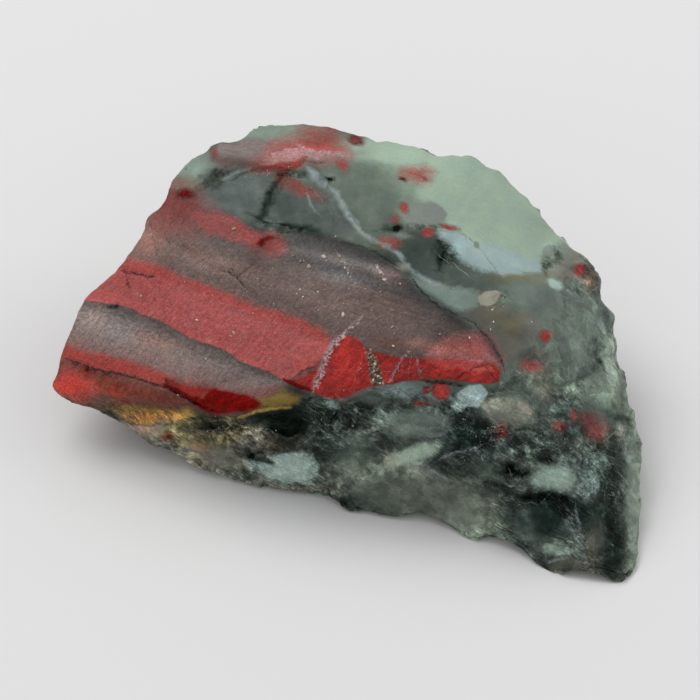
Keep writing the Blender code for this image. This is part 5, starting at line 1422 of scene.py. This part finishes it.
def plus(tree, a, b):
    return calc(tree, "ADD", a, b)


def minus(tree, a, b):
    return calc(tree, "SUBTRACT", a, b)


def scaled(tree, value, factor, added):
    """The value times the factor, and more added to it."""
    return calc(tree, "MULTIPLY_ADD", value, factor, added)


def centred(tree, noise_value, reach=1.0):
    """A number from 0 to 1, moved to lie evenly about 0 and scaled."""
    return times(tree, minus(tree, noise_value, 0.5), reach)


def partly(tree, multiplier, share):
    """A multiplier that counts only by its share: 1 where that is 0."""
    return scaled(tree, minus(tree, multiplier, 1.0), share, 1.0)


def power_of_e(tree, value):
    return calc(tree, "POWER", math.e, value)


def ramp_number(tree, value, low, high, at_low, at_high):
    """The value, moved from the stretch LOW to HIGH onto that from AT_LOW to AT_HIGH, and held there."""
    made = add(tree, "ShaderNodeMapRange", Value=value, From_Min=low, From_Max=high)
    fill(tree, made, To_Min=at_low, To_Max=at_high)
    return made.outputs[0]


def mix(tree, factor, below, above, blend="MIX"):
    made = add(tree, "ShaderNodeMix", {"data_type": "RGBA", "blend_type": blend})
    join(tree, factor, made.inputs[0])
    for value, socket in ((below, made.inputs[6]), (above, made.inputs[7])):
        join(tree, value if isinstance(value, bpy.types.NodeSocket) else (*value, 1), socket)
    return made.outputs[2]


def tinted(tree, colour, tint, factor=1.0):
    return mix(tree, factor, colour, tint, "MULTIPLY")


def ramp(tree, factor, stops):
    """A colour ramp from (position, colour) stops; a single number stands for a grey."""
    made = add(tree, "ShaderNodeValToRGB", Fac=factor)
    elements = made.color_ramp.elements
    while len(elements) < len(stops):
        elements.new(1.0)
    for element, (position, colour) in zip(elements, stops):
        element.position = position
        element.color = (*colour, 1) if isinstance(colour, tuple) else (colour, colour, colour, 1)
    return made.outputs["Color"]


def number(tree, name):
    return add(tree, "ShaderNodeAttribute", {"attribute_name": name}).outputs["Fac"]


def grain(tree, place, size_mm, detail=3.0, roughness=0.5, output="Fac"):
    made = add(tree, "ShaderNodeTexNoise", Vector=place, Scale=1 / size_mm, Detail=detail)
    fill(tree, made, Roughness=roughness)
    return made.outputs[output]


def drawn_out(tree, place, angle, long_mm, thin_mm):
    """The place, stretched along a direction of the face that is given in degrees up from its u axis."""
    made = add(tree, "ShaderNodeMapping", {"vector_type": "TEXTURE"}, Vector=place)
    fill(tree, made, Rotation=(0, 0, math.radians(angle)), Scale=(long_mm, thin_mm, thin_mm))
    return made.outputs[0]


def streaks(tree, place, angle, long_mm, thin_mm, detail=3.0):
    """Noise drawn out along a direction of the face."""
    return grain(tree, drawn_out(tree, place, angle, long_mm, thin_mm), 1.0, detail, 0.6)


def bent_place(tree, face, size_mm, reach_mm):
    """The place, pushed about so that what is drawn on it runs unevenly."""
    bent = add(tree, "ShaderNodeVectorMath", {"operation": "MULTIPLY_ADD"})
    push = grain(tree, face, size_mm, output="Color")
    for value, socket in zip((push, (reach_mm, reach_mm, reach_mm), face), bent.inputs):
        join(tree, value, socket)
    return bent.outputs[0]


def dots(tree, place, size_mm):
    """How far each place lies from the nearest of some scattered dots."""
    return add(tree, "ShaderNodeTexVoronoi", Vector=place, Scale=1 / size_mm).outputs["Distance"]


def feathered_mask_group():
    """Turns how far inside a patch a point lies, in units of its softness, into a mask with a feathered
    edge."""
    group = bpy.data.node_groups.new("feathered mask", "ShaderNodeTree")
    for name, value in (("Inside", 0.0), ("Noise", 0.5), ("Feathering", 1.5)):
        socket = group.interface.new_socket(name, in_out="INPUT", socket_type="NodeSocketFloat")
        socket.default_value = value
    group.interface.new_socket("Mask", in_out="OUTPUT", socket_type="NodeSocketFloat")
    start = group.nodes.new("NodeGroupInput").outputs
    end = group.nodes.new("NodeGroupOutput").inputs
    inside = plus(group, start["Inside"], centred(group, start["Noise"], start["Feathering"]))
    group.links.new(calc(group, "MULTIPLY_ADD", inside, 0.5, 0.5, clamp=True), end["Mask"])
    return group


def thin_line(tree, name, noise_value, wander, softness):
    """A mask for the lines whose signed distance and half-width are the numbers NAME and NAME_width."""
    offset = plus(tree, centred(tree, noise_value, wander), number(tree, name))
    inside = minus(tree, number(tree, name + "_width"), calc(tree, "ABSOLUTE", offset))
    return calc(tree, "MULTIPLY_ADD", inside, 1 / softness, 0.5, clamp=True)


def feathered(tree, name, noise_value, feathering):
    """A mask for the patches whose depth is the number NAME."""
    made = add(tree, "ShaderNodeGroup", {"node_tree": FEATHERED})
    fill(tree, made, Inside=number(tree, name), Noise=noise_value, Feathering=feathering)
    return made.outputs["Mask"]


def jasper():
    """The stone's material: mottled green rock under red, grey and pale layers, spots, veins and cracks."""
    material, tree, shader = new_material("jasper")
    face = add(tree, "ShaderNodeAttribute", {"attribute_name": "face"}).outputs["Vector"]
    coarse = grain(tree, face, 2.6, 5.0, 0.6)
    middle = grain(tree, face, 0.9, 5.0, 0.6)
    fine = grain(tree, face, 0.3, 3.0, 0.65)
    speck = grain(tree, face, 0.13, 2.0, 0.6)
    along_bands = streaks(tree, face, -19, 3.2, 0.3)
    torn = number(tree, "torn")
    shattered = number(tree, "shattered")
    banded = feathered(tree, "banded", middle, 3.0)
    top = feathered(tree, "mauve_top", middle, 2.0)
    dark = feathered(tree, "dark", middle, 5.0)
    pale = feathered(tree, "pale", fine, times(tree, number(tree, "pale_ragged"), 2.0))
    red = feathered(tree, "red", fine, times(tree, number(tree, "red_ragged"), 2.5))

    colour = green_rock(tree, face, coarse, middle, torn)
    colour = mix(tree, banded, colour, banded_colour(tree, middle, along_bands))
    colour = mix(tree, top, colour, ramp(tree, along_bands, MAUVE_COLOURS))
    colour = shattered_over(tree, colour, face, shattered, middle)
    # black spots and pits, and painted shade in the notch, the hollow under the ledge and under the mint
    # block
    colour = mix(tree, dark, colour, SPOT_AND_SHADE_BLACK)
    colour = mix(tree, pale, colour, pale_colour(tree, face, middle))
    colour = mix(tree, red, colour, red_colour(tree, face, middle, along_bands))
    colour = lines_over(tree, colour, middle, fine)
    granular = greatest(tree, banded, red, torn, shattered, times(tree, number(tree, "mottled"), 0.7))
    colour = tinted(tree, colour, grained_shade(tree, face, fine, speck, along_bands, granular))

    deep = times(tree, red, ramp_number(tree, number(tree, "red_depth"), 0.6, 1.0, 0.0, 0.9))
    bare = minus(tree, 1.0, greatest(tree, banded, top, pale, red))
    dim = times(tree, bare, ramp_number(tree, number(tree, "tone"), 0.2, 0.65, 0.8, 0.0))
    dim = greatest(tree, dim, times(tree, shattered, bare, 0.9))
    shiny = minus(tree, 1.0, greatest(tree, dark, deep, dim))
    grit = plus(tree, fine, times(tree, speck, 0.5))
    grit = scaled(tree, dots(tree, face, 0.42), 0.3, grit)
    grit = times(tree, grit, scaled(tree, granular, 0.8, 0.2))
    bump = add(tree, "ShaderNodeBump", Height=grit, Strength=0.9, Distance=0.00022)
    fill(
        tree, shader, Base_Color=colour, Normal=bump.outputs["Normal"],
        Specular_IOR_Level=times(tree, shiny, 0.25), Roughness=scaled(tree, fine, 0.4, 0.25),
        Coat_Weight=times(tree, ramp_number(tree, middle, 0.3, 0.7, 0.05, 0.35), shiny), Coat_Roughness=0.35,
    )  # fmt: skip
    return material


def shattered_over(tree, colour, face, shattered, middle):
    """Small broken bits: splinters, near-black flakes and pale grey-green ones, running down to the right."""
    flakes = plus(tree, streaks(tree, face, -30, 1.7, 0.75, 4.0), centred(tree, middle, 0.35))
    black = times(tree, shattered, ramp_number(tree, flakes, 0.5, 0.54, 0.0, 0.8))
    colour = mix(tree, black, colour, FLAKE_BLACK)
    crooked = drawn_out(tree, bent_place(tree, face, 0.6, 0.5), -32, 0.9, 0.38)
    splinters = fragment_tone(tree, crooked, 1.0, 0.08)
    lighter = scaled(tree, splinters, 1.6, ramp_number(tree, flakes, 0.36, 0.42, 0.9, 0.0))
    return tinted(tree, colour, grey(tree, power_of_e(tree, times(tree, lighter, shattered))))


def grained_shade(tree, face, fine, speck, along_bands, granular):
    """The soft lighter and darker areas of the stone, painted shade in the hollows of its torn relief with
    painted light on its raised parts, and its speckle, as one multiplier."""
    torn = number(tree, "torn")
    # painted shade in the hollows of the relief, and painted light on its raised parts, where the break is
    # torn
    hollow = ramp_number(tree, number(tree, "relief"), -0.25, 0.15, 0.35, 1.35)
    ripples = streaks(tree, face, 52, 0.9, 0.22, 2.0)
    swings = ((speck, 0.3), (fine, 0.2), (along_bands, 0.2), (ripples, 0.22))
    speckle = [ramp_number(tree, kind, 0.3, 0.7, 1 - swing, 1 + swing) for kind, swing in swings]
    near_dot = calc(tree, "LESS_THAN", dots(tree, face, 0.55), 0.16)
    dotted = times(tree, near_dot, calc(tree, "GREATER_THAN", fine, 0.55))
    crisp = ramp_number(tree, streaks(tree, face, -34, 0.75, 0.2, 2.0), 0.42, 0.58, -0.4, 0.4)
    speckle += [scaled(tree, dotted, -0.55, 1.0), scaled(tree, crisp, torn, 1.0)]
    speckle = partly(tree, times(tree, *speckle), scaled(tree, granular, 0.85, 0.15))
    light = power_of_e(tree, number(tree, "light"))
    shade = times(tree, partly(tree, hollow, torn), speckle, light)
    warm = number(tree, "warm")
    kinds = (("Red", 1.0), ("Green", -0.5), ("Blue", -1.0))
    shares = {name: times(tree, shade, power_of_e(tree, times(tree, warm, share))) for name, share in kinds}
    return add(tree, "ShaderNodeCombineColor", **shares).outputs[0]


def green_rock(tree, face, coarse, middle, torn):
    """The green ground: its lightness and hue from the stone's own numbers, broken into fragments and
    mottled."""
    mottled = number(tree, "mottled")
    bent = bent_place(tree, face, 1.1, 1.4)
    fragments = plus(tree, fragment_tone(tree, bent, 2.8, 0.25), fragment_tone(tree, bent, 1.1, 0.15))
    mottle = plus(tree, times(tree, fragments, mottled, 0.32), centred(tree, coarse, 0.25))
    grit = scaled(tree, torn, 0.5, scaled(tree, mottled, 0.35, 0.08))
    tone = plus(tree, plus(tree, mottle, centred(tree, middle, grit)), number(tree, "tone"))
    light = times(tree, calc(tree, "POWER", ROCK_CONTRAST, tone), DARKEST_ROCK)
    hue = plus(tree, centred(tree, coarse, 0.4), number(tree, "hue"))
    colour = tinted(tree, ramp(tree, hue, ROCK_TINTS), grey(tree, light))
    return tinted(tree, colour, ramp(tree, tone, DARK_TINTS))


def fragment_tone(tree, place, size_mm, blurred):
    """A number from -0.5 to 0.5 that is nearly the same all over each fragment."""
    kind = ("ShaderNodeTexVoronoi", {"feature": "SMOOTH_F1"})
    made = add(tree, *kind, Vector=place, Scale=1 / size_mm, Smoothness=blurred)
    split = add(tree, "ShaderNodeSeparateColor", Color=made.outputs["Color"])
    return minus(tree, split.outputs[0], 0.5)


def grey(tree, value):
    return add(tree, "ShaderNodeCombineColor", Red=value, Green=value, Blue=value).outputs[0]


def banded_colour(tree, middle, along_bands):
    wander = plus(tree, centred(tree, middle, 0.3), centred(tree, along_bands, 0.35))
    layer = calc(tree, "DIVIDE", plus(tree, number(tree, "layer"), wander), len(LAYER_EDGES) + 1)
    along = ramp_number(tree, number(tree, "along"), BANDS_START, BANDS_END, 0.0, 1.0)
    return tinted(tree, ramp(tree, layer, LAYER_COLOURS), ramp(tree, along, LIGHT_ALONG))


def red_colour(tree, face, middle, along_bands):
    """The colour of each kind of red, with dark blotches in the deep ones."""
    depth = number(tree, "red_depth")
    wander = plus(tree, centred(tree, middle, 0.26), centred(tree, along_bands, 0.18))
    colour = ramp(tree, plus(tree, depth, wander), RED_COLOURS)
    blotched = ramp_number(tree, streaks(tree, face, 40, 1.8, 0.6, 5.0), 0.44, 0.56, 0.0, 1.0)
    blotched = times(tree, blotched, ramp_number(tree, depth, 0.5, 0.7, 0.0, 0.6))
    return tinted(tree, colour, BLOTCH_TINT, blotched)


def pale_colour(tree, face, middle):
    """The colour of each kind of pale patch, faintly clouded and scratched."""
    kind = plus(tree, number(tree, "pale_kind"), centred(tree, middle, 0.07))
    clouds = grain(tree, face, CLOUD_SIZE, 4.0)
    colour = tinted(tree, ramp(tree, kind, PALE_COLOURS), ramp(tree, clouds, CLOUD_TINTS))
    scratched = times(tree, streaks(tree, face, -35, 1.1, 0.4, 5.0), number(tree, "broken"))
    return mix(tree, ramp_number(tree, scratched, 0.5, 0.62, 0.0, 0.3), colour, CHALKY_GREEN)


def lines_over(tree, colour, middle, fine):
    """Scratches, painted highlights along ridges and edges, the wedge, veins and cracks, each broken up along
    its length.
    """
    scratch = thin_line(tree, "scratch", fine, 0.2, 0.09)
    scratch = times(tree, scratch, ramp_number(tree, middle, 0.35, 0.55, 0.7, 1.0))
    colour = mix(tree, scratch, colour, SCRATCH_GREY)
    # painted highlights along the ridges and edges
    edge = thin_line(tree, "edge_highlight", middle, 0.45, 0.4)
    edge = times(tree, edge, ramp_number(tree, middle, 0.35, 0.6, 0.5, 1.0))
    colour = mix(tree, edge, colour, HIGHLIGHT_BLUE)
    colour = mix(tree, feathered(tree, "wedge", fine, 3.0), colour, ramp(tree, fine, WEDGE_COLOURS))
    vein = thin_line(tree, "vein", fine, 1.3, 0.3)
    vein = times(tree, vein, ramp_number(tree, fine, 0.35, 0.5, 0.55, 0.95))
    colour = mix(tree, vein, colour, ramp(tree, fine, VEIN_COLOURS))
    crack = thin_line(tree, "crack", middle, 0.5, 0.14)
    crack = times(tree, crack, ramp_number(tree, fine, 0.42, 0.5, 0.2, 1.0))
    return tinted(tree, colour, CRACK_TINT, crack)


def surface_spots(mesh, world, places):
    """Where a line square to the broad face meets the stone at each (u, v), and which way it faces."""
    skin = BVHTree.FromPolygons([v.co for v in mesh.vertices], [p.vertices for p in mesh.polygons])
    into = (world.to_3x3() @ Vector((0, 0, -1))).normalized()
    hits = [skin.ray_cast(world @ Vector((u, v, 60.0)), into) for u, v in places]
    return [(place, normal) for place, normal, _, _ in hits]


def grain_places():
    """The (u, v) and length of each grain: the ones that stand out, and fine ones strewn over some ovals."""
    rng = np.random.default_rng(21)
    places = [(u, v) for u, v, _ in STANDING_GRAINS]
    sizes = [size for _, _, size in STANDING_GRAINS]
    for u, v, half_long, half_short, tilt, count in STREWN_GRAINS:
        for _ in range(count):
            places.append(in_oval(u, v, tilt, *rng.normal(0, 0.55, 2) * (half_long, half_short)))
            sizes.append(rng.uniform(0.03, 0.08))
    return places, sizes


def grain_tree():
    """Puts a small faceted crystal on each point, its size from the point's own number."""
    tree = bpy.data.node_groups.new("grains", "GeometryNodeTree")
    tree.interface.new_socket("Geometry", in_out="INPUT", socket_type="NodeSocketGeometry")
    for name, kind, value in (("Size Factor", "NodeSocketFloat", 1.0), ("Seed", "NodeSocketInt", 1)):
        tree.interface.new_socket(name, in_out="INPUT", socket_type=kind).default_value = value
    tree.interface.new_socket("Geometry", in_out="OUTPUT", socket_type="NodeSocketGeometry")
    start = tree.nodes.new("NodeGroupInput").outputs
    points = add(tree, "GeometryNodeMeshToPoints", Mesh=start["Geometry"]).outputs[0]
    size = add(tree, "GeometryNodeInputNamedAttribute", {"data_type": "FLOAT"}, Name="size").outputs[0]
    length = times(tree, size, start["Size Factor"])
    random = ("FunctionNodeRandomValue", {"data_type": "FLOAT_VECTOR"})
    spread = add(tree, *random, Seed=start["Seed"], Min=(0.6, 0.5, 0.5), Max=(1.5, 0.9, 0.9)).outputs[0]
    scale = add(tree, "ShaderNodeVectorMath", {"operation": "SCALE"}, Vector=spread, Scale=length)
    turn = add(tree, *random, Seed=start["Seed"], Max=(math.tau, math.tau, math.tau)).outputs[0]
    crystal = add(tree, "GeometryNodeMeshIcoSphere", Radius=1.0, Subdivisions=1).outputs["Mesh"]
    strewn = add(
        tree, "GeometryNodeInstanceOnPoints", Points=points, Instance=crystal, Rotation=turn,
        Scale=scale.outputs[0],
    )  # fmt: skip
    joined = add(tree, "GeometryNodeRealizeInstances", Geometry=strewn.outputs[0]).outputs[0]
    finished = add(tree, "GeometryNodeSetMaterial", Geometry=joined, Material=quartz()).outputs[0]
    end = tree.nodes.new("NodeGroupOutput").inputs
    tree.links.new(finished, end["Geometry"])
    return tree


def make_grains(stone, world):
    """Small quartz and pyrite grains, half sunk in the stone's skin."""
    places, sizes = grain_places()
    hits = zip(surface_spots(stone.data, world, places), sizes)
    hits = [(place, normal, size * MM) for (place, normal), size in hits if place is not None]
    seated = [(place - normal * size * SUNK, size) for place, normal, size in hits]
    mesh = bpy.data.meshes.new("grain points")
    mesh.from_pydata([place for place, _ in seated], [], [])
    write_number(mesh, "size", np.array([size for _, size in seated]))
    seeds = show("grain points", mesh)
    tree = grain_tree()
    modifier = seeds.modifiers.new("grains", "NODES")
    modifier.node_group = tree
    sockets = {item.name: item.identifier for item in tree.interface.items_tree if item.in_out == "INPUT"}
    modifier[sockets["Size Factor"]] = 1.0
    modifier[sockets["Seed"]] = 5
    evaluated = seeds.evaluated_get(bpy.context.evaluated_depsgraph_get())
    grains = show("grains", bpy.data.meshes.new_from_object(evaluated))
    seeds.modifiers.clear()
    bpy.data.objects.remove(seeds)
    return grains


def quartz():
    material, tree, shader = new_material("quartz_grains")
    place = add(tree, "ShaderNodeTexCoord").outputs["Object"]
    mottle = add(tree, "ShaderNodeTexNoise", Vector=place, Scale=420.0, Detail=1.0).outputs["Fac"]
    fill(tree, shader, Base_Color=ramp(tree, mottle, QUARTZ_COLOURS), Roughness=0.25)
    return material


def make_floor():
    mesh = bpy.data.meshes.new("floor")
    bm = bmesh.new()
    bmesh.ops.create_grid(bm, x_segments=1, y_segments=1, size=1.5)
    bm.to_mesh(mesh)
    bm.free()
    material, tree, shader = new_material("pale_floor")
    fill(tree, shader, Base_Color=(*PALE_GREY, 1), Roughness=0.9, Specular_IOR_Level=0.1)
    mesh.materials.append(material)
    return show("floor", mesh)


def make_light(name, place, size, power):
    """A square light that shines at the stone."""
    light = bpy.data.lights.new(name, "AREA")
    light.shape = "SQUARE"
    light.size = size
    light.energy = power
    holder = show(name, light)
    holder.location = place
    holder.rotation_euler = (Vector(LIT_SPOT) - Vector(place)).to_track_quat("-Z", "Y").to_euler()


def make_camera(world):
    """Looks square-on at the broad face from far off, with the photo's centre in the middle of the frame."""
    lens = bpy.data.cameras.new("camera")
    lens.lens = 1000.0
    lens.sensor_width = 36.0
    lens.clip_end = 20.0
    camera = show("camera", lens)
    away = FRAME_WIDTH * lens.lens / lens.sensor_width
    back = (world.to_3x3() @ Vector((0, 0, 1))).normalized()
    camera.location = world @ Vector((*FRAME_MIDDLE, 0.0)) + back * away
    camera.rotation_mode = "QUATERNION"
    camera.rotation_quaternion = LEANED_BACK.to_quaternion()
    bpy.context.scene.camera = camera


def light_studio():
    world = bpy.data.worlds.new("studio")
    world.use_nodes = True
    background = world.node_tree.nodes["Background"]
    fill(world.node_tree, background, Color=(1.0, 1.0, 1.0, 1), Strength=0.52)
    bpy.context.scene.world = world
    bpy.context.scene.view_settings.view_transform = "Standard"
    make_light("overhead", (-0.25, 0.25, 0.6), 0.5, 2.0)
    make_light("right", (0.5, 0.1, 0.35), 0.3, 0.5)


FEATHERED = feathered_mask_group()
stone, shift = make_stone()
stone.data.materials.append(jasper())
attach(stone, "root")
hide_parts("bloodstone")
grains = make_grains(stone, face_to_world(shift))
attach(grains, "root")
floor = make_floor()
light_studio()
make_camera(face_to_world(shift))
